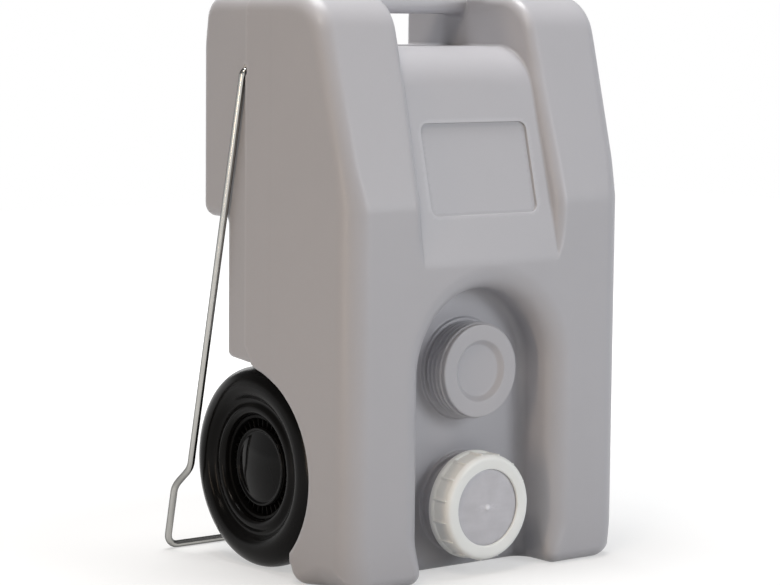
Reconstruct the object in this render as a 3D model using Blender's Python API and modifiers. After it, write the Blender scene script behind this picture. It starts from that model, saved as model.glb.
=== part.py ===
"""Portable waste water tank on two wheels, with a wire pull bail.

Units are metres, +Z is up and the front of the tank faces -Y. The origin is the
bottom centre of the whole object. The tank stands on its two front lobes and on
its wheels, and the bail leans on the floor behind them.
"""
import math

import bmesh
import bpy
from mathutils import Matrix, Vector

# Overall body
BODY_HEIGHT = 0.550
HALF_WIDTH = 0.179
PARTING_DEPTH = 0.152
REAR_HALF_DEPTH = 0.042
BLOCK_OVERHANG = 0.041
WALL = 0.003
LOWER_DEPTH = PARTING_DEPTH + REAR_HALF_DEPTH
BODY_DEPTH = LOWER_DEPTH + BLOCK_OVERHANG

# Front mould half: the lobes, the knee and the sloping ears
EAR_HEIGHT = 0.194
KNEE_HEIGHT = BODY_HEIGHT - EAR_HEIGHT
EAR_SLOPE = math.radians(15.4)
FRONT_DRAFT = math.radians(4.0)
REAR_DRAFT = math.radians(1.5)
SIDE_STEP = 0.0055
PARTING_STEP = 0.0008
LOBE_FOOT_BACK = 0.086
LOBE_FOOT_DEPTH = PARTING_DEPTH - LOBE_FOOT_BACK
BELLY_CLEARANCE = 0.012
CHEEK_CORNER = 0.024

# Edge radii of the moulding
LOBE_EDGE = 0.023
EAR_EDGE = 0.017
EAR_TOP_FRONT = 0.045
TOP_REAR = 0.023
TOP_SIDE = 0.012
FOOT_SIDE = 0.028
FOOT_FRONT = 0.012
KNEE_EDGE = 0.012
BLOCK_EDGE = 0.012
BELLY_REAR = 0.024
REAR_SIDE = 0.012

# Rear block under the handle
BLOCK_HEIGHT = 0.215
BLOCK_BOTTOM = BODY_HEIGHT - BLOCK_HEIGHT

# Channel between the ears, with the sloping panel and the shelf
PANEL_KNEE_DROP = 0.053
PANEL_KNEE_HEIGHT = KNEE_HEIGHT - PANEL_KNEE_DROP
PANEL_SLOPE = math.radians(12.0)
HAND_GAP_DEPTH = 0.050
SHELF_HEIGHT = BODY_HEIGHT - HAND_GAP_DEPTH
SHELF_EDGE = 0.050
EAR_WIDTH = 0.102
CHANNEL_HALF = HALF_WIDTH - EAR_WIDTH
CHANNEL_MOUTH = 0.018
PLATE_MARGIN = 0.012
PLATE_RISE = 0.041
PLATE_LENGTH = 0.088
PLATE_WIDTH = 2 * (CHANNEL_HALF - PLATE_MARGIN)
PLATE_BOTTOM = PANEL_KNEE_HEIGHT + PLATE_RISE
PLATE_DEPTH = 0.0012
PLATE_CORNER = 0.008

# Handle bar across the channel
HAND_CLEARANCE = 0.031
BAR_UNDERSIDE = SHELF_HEIGHT + HAND_CLEARANCE
BAR_TOP_DROP = 0.001
BAR_LENGTHWAYS = 0.038
BAR_EDGE = 0.008
BAR_FLARE = 0.007

# Recess for the two necks, with room for fingers round them
NECK_RADIUS = 0.0446
FINGER_ROOM = 0.0344
RECESS_HALF = NECK_RADIUS + FINGER_ROOM
RECESS_DEPTH = 0.0455
RECESS_MOUTH = 0.024
RECESS_FILLET = 0.008
RECESS_FOOT = 0.012

# Drain cap: ring, disc and seal, sized from the neck that the ring screws on
CAP_FRONT_DEPTH = 0.0011
CAP_LENGTH = 0.027
CAP_THREAD_SPACE = 0.0029
CAP_WALL = 0.0037
CAP_BORE = NECK_RADIUS + CAP_THREAD_SPACE
CAP_RADIUS = CAP_BORE + CAP_WALL
CAP_TAPER = 0.0016
CAP_FRONT_RADIUS = CAP_RADIUS - CAP_TAPER
CAP_LIP = 0.0028
CAP_RIBS = 18
CAP_RIB_WIDTH = 0.0034
CAP_RIB_HEIGHT = 0.0012
DISC_CLEARANCE = 0.002
DISC_HOLD = 0.0088
DISC_RADIUS = CAP_BORE - DISC_CLEARANCE
CAP_WINDOW = DISC_RADIUS - DISC_HOLD
DISC_THICKNESS = 0.0022
DISC_CROWN = 0.0016
SEAL_THICKNESS = 0.0020
SEAL_WIDTH = 0.0048

# Necks: a blind one above, and the drain below
NECK_WALL = 0.0041
NECK_BORE = NECK_RADIUS - NECK_WALL
NECK_FLANGE_RISE = 0.0039
NECK_FLANGE_RADIUS = NECK_RADIUS + NECK_FLANGE_RISE
NECK_FLANGE = 0.0035
CAP_FOOT_ROOM = 0.014
NECK_SPACING = 0.027
DRAIN_NECK_HEIGHT = CAP_RADIUS + CAP_FOOT_ROOM
BLIND_NECK_HEIGHT = DRAIN_NECK_HEIGHT + 2 * CAP_RADIUS + NECK_SPACING
BLIND_NECK_LENGTH = 0.030
FACE_RING = 0.0134
DISH_RADIUS = NECK_RADIUS - FACE_RING
DISH_DEPTH = 0.0025

# Axle and wheels
AXLE_RADIUS = 0.005
AXLE_BACK = 0.010
AXLE_DEPTH = PARTING_DEPTH + AXLE_BACK
WHEEL_RADIUS = 0.097
WHEEL_WIDTH = 0.042
WHEEL_GAP = 0.0078
WHEEL_SIDE_GAP = 0.0065
POCKET_WIDTH = 0.062
POCKET_WALL = HALF_WIDTH - POCKET_WIDTH
WHEEL_MIDDLE = POCKET_WALL + WHEEL_SIDE_GAP + WHEEL_WIDTH / 2
TYRE_HEIGHT = 0.0465
RIM_RADIUS = WHEEL_RADIUS - TYRE_HEIGHT
RIM_WIDTH = 0.018
RIM_SHELL = 0.0032
RIM_WEB = 0.004
HUB_RADIUS = 0.016
RIM_RIBS = 30
RIM_RIB_WIDTH = 0.0016
BUSH_RADIUS = 0.008
WASHER_RADIUS = 0.012
WASHER_THICKNESS = 0.002
NUT_RADIUS = 0.009
NUT_THICKNESS = 0.004
RIB_RING = 0.0125
HUB_CAP_RADIUS = RIM_RADIUS - RIB_RING
HUB_CAP_CROWN = 0.0030
HUB_CAP_WALL = 0.0016

# Pull bail of round wire
WIRE_RADIUS = 0.0035
PIVOT_BACK = 0.004
PIVOT_DROP = 0.0735
BAIL_REACH = 0.0125
BAIL_FOOT_LENGTH = 0.057
BAIL_KINK_LENGTH = 0.039
PIVOT_DEPTH = PARTING_DEPTH + PIVOT_BACK
PIVOT_HEIGHT = BODY_HEIGHT - PIVOT_DROP
BAIL_LENGTH = PIVOT_HEIGHT + BAIL_REACH
BAIL_KINK_END = BAIL_LENGTH - BAIL_FOOT_LENGTH
BAIL_KINK_START = BAIL_KINK_END - BAIL_KINK_LENGTH
BAIL_KINK_OFFSET = 0.022
BAIL_CORNER = 0.012
BAIL_BEND = 0.0045
BAIL_TAIL = 0.012
BAIL_SIDE_GAP = 0.001
PIVOT_BUSH_RADIUS = 0.0065
PIVOT_BUSH_LENGTH = 0.013

# Clearances
GAP = 0.0003
RUNNING_GAP = 0.0004

# Round pieces
ROUND = 16
WHEEL_ROUND = 32
FINE_ROUND = 36


def solve_bail_angle():
    """Lean of the bail, from vertical, that puts its crossbar just above the floor."""
    reach = math.hypot(BAIL_LENGTH, BAIL_KINK_OFFSET)
    turn = math.atan2(BAIL_KINK_OFFSET, BAIL_LENGTH)
    drop = PIVOT_HEIGHT - WIRE_RADIUS - GAP
    return math.acos(drop / reach) - turn


BAIL_ANGLE = solve_bail_angle()
BAIL_REAR = (PIVOT_DEPTH + BAIL_LENGTH * math.sin(BAIL_ANGLE)
             + BAIL_KINK_OFFSET * math.cos(BAIL_ANGLE) + WIRE_RADIUS)
FRONT_Y = -BAIL_REAR / 2
EAR_RUN = math.tan(EAR_SLOPE)
PANEL_RUN = math.tan(PANEL_SLOPE)
SIDE_INSET = HALF_WIDTH - SIDE_STEP
BAIL_PLANE = SIDE_INSET + BAIL_SIDE_GAP + WIRE_RADIUS
BLIND_FACE_DEPTH = RECESS_DEPTH - BLIND_NECK_LENGTH
DISC_DEPTH = CAP_FRONT_DEPTH + CAP_LIP + GAP
SEAL_DEPTH = DISC_DEPTH + DISC_THICKNESS + GAP
DRAIN_FACE_DEPTH = SEAL_DEPTH + SEAL_THICKNESS + GAP
HUB_INNER = POCKET_WALL + WASHER_THICKNESS + 2 * GAP
WHEEL_FACE = WHEEL_MIDDLE + RIM_WIDTH / 2
CAP_SEAT = WHEEL_FACE - 0.0017
NUT_END = CAP_SEAT - 0.0025
HUB_OUTER = NUT_END - NUT_THICKNESS - WASHER_THICKNESS - 2 * GAP
WEB_OUTER = CAP_SEAT - 0.008
ARCH_RADIUS = WHEEL_RADIUS + WHEEL_GAP


def clear_scene():
    """Remove whatever the scene holds."""
    for item in list(bpy.data.objects):
        bpy.data.objects.remove(item, do_unlink=True)
    for mesh in list(bpy.data.meshes):
        bpy.data.meshes.remove(mesh)
    for name in ("waste_water_tank", "cutters"):
        collection = bpy.data.collections.new(name)
        bpy.context.scene.collection.children.link(collection)


def material(name, color, roughness, metallic=0.0):
    """Principled material made once for each name."""
    found = bpy.data.materials.get(name)
    if found:
        return found
    made = bpy.data.materials.new(name)
    made.use_nodes = True
    shader = made.node_tree.nodes["Principled BSDF"]
    shader.inputs["Base Color"].default_value = (*color, 1.0)
    shader.inputs["Roughness"].default_value = roughness
    shader.inputs["Metallic"].default_value = metallic
    return made


def body_plastic():
    return material("grey_polyethylene", (0.40, 0.40, 0.42), 0.45)


def white_plastic():
    return material("white_polypropylene", (0.86, 0.86, 0.84), 0.40)


def disc_plastic():
    return material("pale_grey_disc", (0.60, 0.60, 0.63), 0.45)


def seal_rubber():
    return material("seal_rubber", (0.05, 0.05, 0.05), 0.80)


def wheel_plastic():
    return material("black_wheel_plastic", (0.012, 0.012, 0.013), 0.35)


def gloss_plastic():
    return material("gloss_black_plastic", (0.010, 0.010, 0.011), 0.12)


def bush_plastic():
    return material("white_nylon", (0.80, 0.79, 0.75), 0.45)


def zinc_steel():
    return material("zinc_steel", (0.62, 0.62, 0.60), 0.35, 1.0)


def bright_wire():
    return material("bright_wire", (0.72, 0.71, 0.66), 0.18, 1.0)


def add_object(name, mesh, finish=None, collection="waste_water_tank"):
    """Link a mesh as a named object, with one material."""
    item = bpy.data.objects.new(name, mesh)
    bpy.data.collections[collection].objects.link(item)
    if finish:
        mesh.materials.clear()
        mesh.materials.append(finish)
    return item


def add_cutter(name, mesh):
    """Link a mesh as a cutter, which isn't part of the object."""
    item = add_object(name, mesh, collection="cutters")
    item.hide_render = True
    item.display_type = "WIRE"
    return item


def mesh_from(bm, name):
    """Turn a bmesh into a mesh with outward faces."""
    bmesh.ops.recalc_face_normals(bm, faces=bm.faces)
    mesh = bpy.data.meshes.new(name)
    bm.to_mesh(mesh)
    bm.free()
    return mesh


def loft(name, rings):
    """Closed solid through rings that have the same number of points."""
    bm = bmesh.new()
    loops = [[bm.verts.new(point) for point in ring] for ring in rings]
    count = len(rings[0])
    for lower, upper in zip(loops, loops[1:]):
        for i in range(count):
            j = (i + 1) % count
            bm.faces.new((lower[i], lower[j], upper[j], upper[i]))
    bm.faces.new(reversed(loops[0]))
    bm.faces.new(loops[-1])
    return mesh_from(bm, name)


def turned(name, profile, steps, finish=None, cutter=False):
    """Closed turned solid about Z from (radius, height) points, outer side first."""
    bm = bmesh.new()
    points = [bm.verts.new((radius, 0.0, height)) for radius, height in profile]
    for first, second in zip(points, points[1:]):
        bm.edges.new((first, second))
    if min(radius for radius, height in profile) > 0.0:
        bm.edges.new((points[-1], points[0]))
    mesh = bpy.data.meshes.new(name)
    bm.to_mesh(mesh)
    bm.free()
    item = add_cutter(name, mesh) if cutter else add_object(name, mesh, finish)
    screw = item.modifiers.new("Turn", "SCREW")
    screw.steps = steps
    screw.render_steps = steps
    screw.use_merge_vertices = True
    screw.merge_threshold = 0.00001
    screw.use_smooth_shade = False
    return item


def bake(item):
    """Replace an object's mesh by its evaluated mesh, and drop its modifiers."""
    graph = bpy.context.evaluated_depsgraph_get()
    mesh = bpy.data.meshes.new_from_object(item.evaluated_get(graph))
    item.modifiers.clear()
    item.data = mesh
    return item


def place(item, matrix):
    """Move an object's mesh points by a matrix."""
    item.data.transform(matrix)
    item.data.update()
    return item


def smooth(item, angle=35.0):
    """Smooth shading, with sharp edges past an angle."""
    item.data.shade_smooth()
    item.data.set_sharp_from_angle(angle=math.radians(angle))
    return item


def boolean(item, other, operation):
    """Exact Boolean with another object."""
    step = item.modifiers.new(operation.title(), "BOOLEAN")
    step.operation = operation
    step.solver = "EXACT"
    step.object = other
    return step


def combine(item, steps):
    """Run Booleans on an object one after another and keep the result."""
    for other, operation in steps:
        boolean(item, other, operation)
    bake(item)
    return item


def arc(centre, radius, start, end, count):
    """Points of an arc, angles in degrees."""
    points = []
    for i in range(count + 1):
        angle = math.radians(start + (end - start) * i / count)
        points.append((centre[0] + radius * math.cos(angle),
                       centre[1] + radius * math.sin(angle)))
    return points


def unit(vector):
    return vector / vector.length


def offset_sides(points, offsets):
    """Move side i of a counter-clockwise polygon, from point i to i + 1, inward."""
    count = len(points)
    result = []
    for i in range(count):
        here = Vector(points[i])
        before = unit(here - Vector(points[i - 1]))
        after = unit(Vector(points[(i + 1) % count]) - here)
        first = Vector((-before.y, before.x))
        second = Vector((-after.y, after.x))
        slope = before.dot(second)
        along = (offsets[i] - offsets[i - 1] * first.dot(second)) / slope
        result.append(here + first * offsets[i - 1] + before * along)
    return result


def inset_polygon(points, distance):
    """Move every side of a counter-clockwise polygon inward by one distance."""
    return [tuple(point) for point in offset_sides(points, [distance] * len(points))]


def fillet(before, corner, after, radius, count):
    """Points of an arc that rounds a corner, from its first side to its second."""
    towards = unit(before - corner)
    onward = unit(after - corner)
    half = towards.angle(onward) / 2
    middle = unit(towards + onward)
    centre = corner + middle * radius / math.sin(half)
    start = corner + towards * radius / math.tan(half) - centre
    end = corner + onward * radius / math.tan(half) - centre
    turn = math.atan2(start.x * end.y - start.y * end.x, start.dot(end))
    points = []
    for i in range(count + 1):
        angle = turn * i / count
        points.append(centre + Vector((start.x * math.cos(angle) - start.y * math.sin(angle),
                                       start.x * math.sin(angle) + start.y * math.cos(angle))))
    return points


def prism(name, profile, half_width, cross_radii, side_radii, inset):
    """Side profile of (depth, height) points, carried across to both sides.

    half_width gives the half width at a depth. cross_radii round the edges that run
    across the body at each point. side_radii round the edges along each side, from a
    point to the next.
    """
    least = 0.0005
    count = len(profile)
    side = [max(radius - inset, least) if radius else 0.0 for radius in side_radii]
    rings = []
    for angle in (0, 30, 60, 90):
        turn = math.radians(angle)
        drop = 1 - math.sin(turn)
        outline = offset_sides(profile, [inset + radius * drop for radius in side])
        ring = []
        for i in range(count):
            radii = (side[i - 1], side[i])
            if cross_radii[i]:
                used = max(cross_radii[i] - inset - max(radii) * drop, least)
                points = fillet(outline[i - 1], outline[i], outline[(i + 1) % count], used, 4)
            else:
                points = [outline[i]]
            for j, point in enumerate(points):
                share = j / (len(points) - 1) if len(points) > 1 else 0.5
                radius = radii[0] * (1 - share) + radii[1] * share
                wide = half_width(point.x) - inset - radius * (1 - math.cos(turn))
                ring.append((wide, point.x, point.y))
        rings.append(ring)
    mirrored_rings = [[(-x, y, z) for x, y, z in ring] for ring in reversed(rings)]
    return add_cutter(name, loft(name, rings + mirrored_rings))


def front_half(inset):
    """Lobes, ears and cheeks: the mould half in front of the parting line."""
    top = BODY_HEIGHT
    arch_top = WHEEL_RADIUS + ARCH_RADIUS
    profile = [
        (0.0, 0.0),
        (LOBE_FOOT_DEPTH, 0.0),
        (LOBE_FOOT_DEPTH + BELLY_CLEARANCE, BELLY_CLEARANCE),
        (PARTING_DEPTH - CHEEK_CORNER, BELLY_CLEARANCE),
        (PARTING_DEPTH - CHEEK_CORNER, arch_top - 0.004),
        (PARTING_DEPTH - 0.25 * CHEEK_CORNER, arch_top + 0.35 * CHEEK_CORNER),
        (PARTING_DEPTH, arch_top + CHEEK_CORNER),
        (PARTING_DEPTH, top),
        ((top - KNEE_HEIGHT) * EAR_RUN, top),
        (0.0, KNEE_HEIGHT),
    ]
    cross = [FOOT_FRONT, 0, 0, 0, 0, 0, 0, 0, EAR_TOP_FRONT, KNEE_EDGE]
    side = [FOOT_SIDE, 0, 0, 0, 0, 0, 0, TOP_SIDE, EAR_EDGE, LOBE_EDGE]

    def half_width(depth):
        return HALF_WIDTH - (PARTING_DEPTH - depth) * math.tan(FRONT_DRAFT)

    return prism("front_half", profile, half_width, cross, side, inset)


def rear_half(inset):
    """Rear face, rear block and belly: the mould half behind the parting line."""
    top = BODY_HEIGHT - PARTING_STEP
    belly = BELLY_CLEARANCE + PARTING_STEP
    start = PARTING_DEPTH - 2 * CHEEK_CORNER
    profile = [
        (start, belly),
        (LOWER_DEPTH, belly),
        (LOWER_DEPTH, BLOCK_BOTTOM),
        (BODY_DEPTH, BLOCK_BOTTOM),
        (BODY_DEPTH, top),
        (start, top),
    ]
    cross = [0, BELLY_REAR, 0.006, BLOCK_EDGE, TOP_REAR, 0]
    side = [REAR_SIDE, REAR_SIDE, REAR_SIDE, REAR_SIDE, TOP_SIDE, 0]

    def half_width(depth):
        return SIDE_INSET - (depth - PARTING_DEPTH) * math.tan(REAR_DRAFT)

    return prism("rear_half", profile, half_width, cross, side, inset)


def channel(grow):
    """Space between the ears, in front of the panel and over the shelf."""
    mouth = CHANNEL_MOUTH - grow
    half = CHANNEL_HALF + grow
    behind = BODY_DEPTH + 0.02
    rings = []
    for height in (PANEL_KNEE_HEIGHT - 0.02, KNEE_HEIGHT, BODY_HEIGHT + 0.02):
        shift = max(height - KNEE_HEIGHT, 0.0) * EAR_RUN
        right = [(half + CHANNEL_MOUTH - grow - mouth * math.cos(math.radians(angle)),
                  CHANNEL_MOUTH - mouth * math.sin(math.radians(angle)) + shift)
                 for angle in (0, 20, 40, 60, 78)]
        outer = right[-1][0] + 0.004
        right.append((outer, right[-1][1] - 0.004 - grow))
        ring = [(x, y, height) for x, y in [(half, behind)] + right]
        ring += [(-x, y, z) for x, y, z in reversed(ring)]
        rings.append(ring)
    sides = add_cutter("channel", loft("channel", rings))
    panel = wedge(grow)
    boolean(sides, panel, "INTERSECT")
    return bake(sides)


def wedge(grow):
    """Everything above the sloping panel and the shelf."""
    turn = math.pi / 2 - PANEL_SLOPE
    reach = SHELF_EDGE * math.tan(turn / 2)
    corner = (SHELF_HEIGHT - PANEL_KNEE_HEIGHT) * PANEL_RUN
    centre = (corner + reach, SHELF_HEIGHT - SHELF_EDGE)
    rounded = arc(centre, SHELF_EDGE, 180.0 - math.degrees(PANEL_SLOPE), 90.0, 8)
    low = 0.03
    outline = [(-low * PANEL_RUN - 0.02, PANEL_KNEE_HEIGHT - low),
               (-low * PANEL_RUN, PANEL_KNEE_HEIGHT - low)]
    outline += rounded
    outline += [(BODY_DEPTH + 0.04, SHELF_HEIGHT), (BODY_DEPTH + 0.04, BODY_HEIGHT + 0.04),
                (-low * PANEL_RUN - 0.02, BODY_HEIGHT + 0.04)]
    outline = inset_polygon(outline, -grow)
    wide = HALF_WIDTH + 0.02
    rings = [[(x, y, z) for y, z in outline] for x in (-wide, wide)]
    return add_cutter("wedge", loft("wedge", rings))


def recess(grow):
    """Arched recess round the necks, with a soft mouth, open at the foot."""
    def outline(spread):
        half = RECESS_HALF + spread
        foot = max(RECESS_FOOT - grow, 0.001)
        right = [(half + foot - foot * math.cos(math.radians(a)), RECESS_FOOT
                  - foot * math.sin(math.radians(a))) for a in (0, 30, 60, 80)]
        right.append((right[-1][0] + 0.004, -0.03))
        dome = arc((0.0, BLIND_NECK_HEIGHT), half, 0.0, 180.0, 16)
        points = list(reversed(right)) + dome
        points += [(-x, z) for x, z in right]
        return points

    mouth = RECESS_MOUTH
    stations = [(RECESS_DEPTH + grow, grow - RECESS_FILLET)]
    for angle in (30, 60, 90):
        turn = math.radians(angle)
        stations.append((RECESS_DEPTH + grow - RECESS_FILLET * (1 - math.cos(turn)),
                         grow - RECESS_FILLET * (1 - math.sin(turn))))
    for angle in (0, 18, 36, 54, 75):
        turn = math.radians(angle)
        stations.append((mouth - (mouth - grow) * math.sin(turn),
                         mouth - (mouth - grow) * math.cos(turn)))
    last = stations[-1]
    stations.append((last[0] - 0.006 - grow, last[1] + 0.008))
    rings = [[(x, y, z) for x, z in outline(spread)] for y, spread in stations]
    return add_cutter("recess", loft("recess", rings))


def wheel_pockets(grow):
    """Pockets over the wheels, open at the sides, the rear and the foot."""
    radius = ARCH_RADIUS + grow
    front = LOBE_FOOT_DEPTH + BELLY_CLEARANCE + 0.001 + grow
    reach = (AXLE_DEPTH - front) / radius
    angle = 180.0 + math.degrees(math.acos(reach))
    outline = arc((AXLE_DEPTH, WHEEL_RADIUS), radius, angle, 70.0, 20)
    rear = BODY_DEPTH + 0.03
    outline += [(rear, outline[-1][1] + 0.002), (rear, -0.03)]
    outline += [(outline[0][0], -0.03)]
    cutters = []
    for sign, side in ((-1.0, "left"), (1.0, "right")):
        rings = [[(sign * x, y, z) for y, z in outline]
                 for x in (POCKET_WALL - grow, HALF_WIDTH + 0.02)]
        cutters.append(add_cutter("pocket_" + side, loft("pocket_" + side, rings)))
    return cutters


def rod(name, radius, start, end, axis, centre, steps=ROUND):
    """Cylinder cutter along an axis, between two stations on it."""
    bm = bmesh.new()
    bmesh.ops.create_cone(bm, cap_ends=True, segments=steps, radius1=radius,
                          radius2=radius, depth=end - start)
    turn = Matrix.Rotation(math.pi / 2, 4, "Y" if axis == "X" else "X")
    bmesh.ops.transform(bm, matrix=turn, verts=bm.verts)
    middle = Vector(centre)
    middle["XYZ".index(axis)] = (start + end) / 2
    bmesh.ops.translate(bm, vec=middle, verts=bm.verts)
    return add_cutter(name, mesh_from(bm, name))


def handle_bar():
    """Bar between the ears, flared where it runs into them."""
    height = BODY_HEIGHT - BAR_TOP_DROP - BAR_UNDERSIDE
    middle = (PIVOT_DEPTH, BAR_UNDERSIDE + height / 2)
    end = CHANNEL_HALF + WALL / 2

    def section(spread):
        half_y = BAR_LENGTHWAYS / 2 + spread
        half_z = height / 2
        low = spread
        points = []
        for sy, sz, start in ((1, 1, 0), (-1, 1, 90), (-1, -1, 180), (1, -1, 270)):
            drop = low if sz < 0 else 0.0
            corner = (middle[0] + sy * (half_y - BAR_EDGE),
                      middle[1] + sz * (half_z - BAR_EDGE) - drop)
            points += arc(corner, BAR_EDGE, start, start + 90, 3)
        return points

    stations = [(end, BAR_FLARE)]
    for angle in (30, 60, 90):
        turn = math.radians(angle)
        stations.append((CHANNEL_HALF - BAR_FLARE * (1 - math.cos(turn)),
                         BAR_FLARE * (1 - math.sin(turn))))
    stations = [(-x, spread) for x, spread in stations] + \
        [(x, spread) for x, spread in reversed(stations)]
    rings = [[(x, y, z) for y, z in section(spread)] for x, spread in stations]
    return add_cutter("handle_bar", loft("handle_bar", rings))


def neck(name, height, face, dish_depth=0.0):
    """Outside of a neck, with the flange at its foot, standing out of the recess."""
    foot = RECESS_DEPTH + WALL / 2
    profile = [(0.0, face + dish_depth)]
    if dish_depth:
        profile += [(DISH_RADIUS - 0.001, face + dish_depth), (DISH_RADIUS, face)]
    profile += [(NECK_RADIUS - 0.0015, face), (NECK_RADIUS, face + 0.0015),
                (NECK_RADIUS, RECESS_DEPTH - NECK_FLANGE - 0.001),
                (NECK_FLANGE_RADIUS, RECESS_DEPTH - NECK_FLANGE),
                (NECK_FLANGE_RADIUS, foot), (0.0, foot)]
    item = turned(name, [(r, -d) for r, d in profile], FINE_ROUND, cutter=True)
    bake(item)
    return place(item, Matrix.Translation((0, 0, height)) @ Matrix.Rotation(math.pi / 2, 4, "X"))


def neck_hollow(name, height, radius, start, end):
    """Bore of a neck, from one depth to another."""
    return rod(name, radius, start, end, "Y", (0.0, 0.0, height), FINE_ROUND)


def plate():
    """Bare shallow plate on the sloping panel."""
    half = PLATE_WIDTH / 2 - PLATE_CORNER
    tall = PLATE_LENGTH / 2 - PLATE_CORNER
    outline = []
    for sx, sz, start in ((1, 1, 0), (-1, 1, 90), (-1, -1, 180), (1, -1, 270)):
        outline += arc((sx * half, sz * tall), PLATE_CORNER, start, start + 90, 4)
    rings = [[(x, y, z) for x, z in outline] for y in (-0.006, PLATE_DEPTH)]
    item = add_cutter("plate", loft("plate", rings))
    middle = PLATE_BOTTOM + PLATE_LENGTH * math.cos(PANEL_SLOPE) / 2
    depth = (middle - PANEL_KNEE_HEIGHT) * PANEL_RUN
    turn = Matrix.Rotation(-PANEL_SLOPE, 4, "X")
    return place(item, Matrix.Translation((0, depth, middle)) @ turn)


def tank_body():
    """Hollow moulded tank: an outer shell less the same form one wall smaller."""
    def form(inset):
        front = front_half(inset)
        steps = [(rear_half(inset), "UNION"), (channel(inset), "DIFFERENCE"),
                 (recess(inset), "DIFFERENCE")]
        steps += [(pocket, "DIFFERENCE") for pocket in wheel_pockets(inset)]
        return combine(front, steps)

    shell = form(0.0)
    hollow = form(WALL)
    bore_end = POCKET_WALL + 0.01
    socket = SIDE_INSET - PIVOT_BUSH_LENGTH - GAP
    bosses = [rod("axle_tube", AXLE_RADIUS + RUNNING_GAP + WALL, -bore_end, bore_end, "X",
                  (0, AXLE_DEPTH, WHEEL_RADIUS))]
    holes = [rod("axle_hole", AXLE_RADIUS + RUNNING_GAP, -bore_end, bore_end, "X",
                 (0, AXLE_DEPTH, WHEEL_RADIUS))]
    for sign in (-1.0, 1.0):
        ends = sorted((sign * (socket - WALL), sign * HALF_WIDTH))
        bosses.append(rod("pivot_boss", PIVOT_BUSH_RADIUS + WALL, ends[0], ends[1], "X",
                          (0, PIVOT_DEPTH, PIVOT_HEIGHT)))
        ends = sorted((sign * socket, sign * (HALF_WIDTH + 0.01)))
        holes.append(rod("pivot_socket", PIVOT_BUSH_RADIUS + GAP, ends[0], ends[1], "X",
                         (0, PIVOT_DEPTH, PIVOT_HEIGHT)))
    combine(hollow, [(boss, "DIFFERENCE") for boss in bosses])
    blind_wall = BLIND_FACE_DEPTH + DISH_DEPTH + WALL
    steps = [(neck("blind_neck", BLIND_NECK_HEIGHT, BLIND_FACE_DEPTH, DISH_DEPTH), "UNION"),
             (neck("drain_neck", DRAIN_NECK_HEIGHT, DRAIN_FACE_DEPTH), "UNION"),
             (handle_bar(), "UNION"),
             (plate(), "DIFFERENCE"),
             (hollow, "DIFFERENCE"),
             (neck_hollow("blind_bore", BLIND_NECK_HEIGHT, NECK_BORE, blind_wall,
                          RECESS_DEPTH + 0.01), "DIFFERENCE"),
             (neck_hollow("drain_bore", DRAIN_NECK_HEIGHT, NECK_BORE, DRAIN_FACE_DEPTH - 0.01,
                          RECESS_DEPTH + 0.01), "DIFFERENCE")]
    steps += [(hole, "DIFFERENCE") for hole in holes]
    combine(shell, steps)
    hollow.name = "hollow"
    body = add_object("tank_body", shell.data.copy(), body_plastic())
    place(body, Matrix.Translation((0, FRONT_Y, 0)))
    return smooth(body)


def to_side(item):
    """Turn a piece made about Z so that its axis lies along X."""
    return place(item, Matrix.Rotation(math.pi / 2, 4, "Y"))


def to_front(item):
    """Turn a piece made about Z so that its top faces the front."""
    return place(item, Matrix.Rotation(math.pi / 2, 4, "X"))


def mirrored(item, name):
    """Mirror image of a right-hand piece, for the left side."""
    mesh = item.data.copy()
    mesh.transform(Matrix.Scale(-1, 4, (1, 0, 0)))
    mesh.flip_normals()
    other = add_object(name, mesh)
    other.location = (-item.location.x, item.location.y, item.location.z)
    return other


def ring_section(inner, outer, low, high, edge=0.0):
    """Closed section of a plain ring, with its outer edges broken."""
    if edge:
        return [(outer - edge, high), (outer, high - edge), (outer, low + edge),
                (outer - edge, low), (inner, low), (inner, high)]
    return [(outer, high), (outer, low), (inner, low), (inner, high)]


def wheel_tyre():
    """Moulded tyre: a rounded crown, bulging sidewalls, a groove and a narrow bead."""
    half = WHEEL_WIDTH / 2
    top = WHEEL_RADIUS
    bead = RIM_RADIUS + GAP
    bead_half = RIM_WIDTH / 2 + 0.001
    tall = top - bead
    wall = [(top, 0.25 * half), (top - 0.065 * tall, 0.60 * half),
            (top - 0.195 * tall, 0.86 * half), (top - 0.411 * tall, half),
            (bead + 0.325 * tall, 0.88 * half), (bead + 0.270 * tall, 0.67 * half),
            (bead + 0.184 * tall, 0.66 * half), (bead + 0.141 * tall, 0.76 * half),
            (bead, bead_half)]
    lower = [(r, -a) for r, a in wall]
    section = list(reversed(wall)) + lower
    item = turned("wheel_tyre_right", section, WHEEL_ROUND, wheel_plastic())
    bake(item)
    place(item, Matrix.Translation((0, 0, WHEEL_MIDDLE)))
    return smooth(to_side(item))


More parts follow.
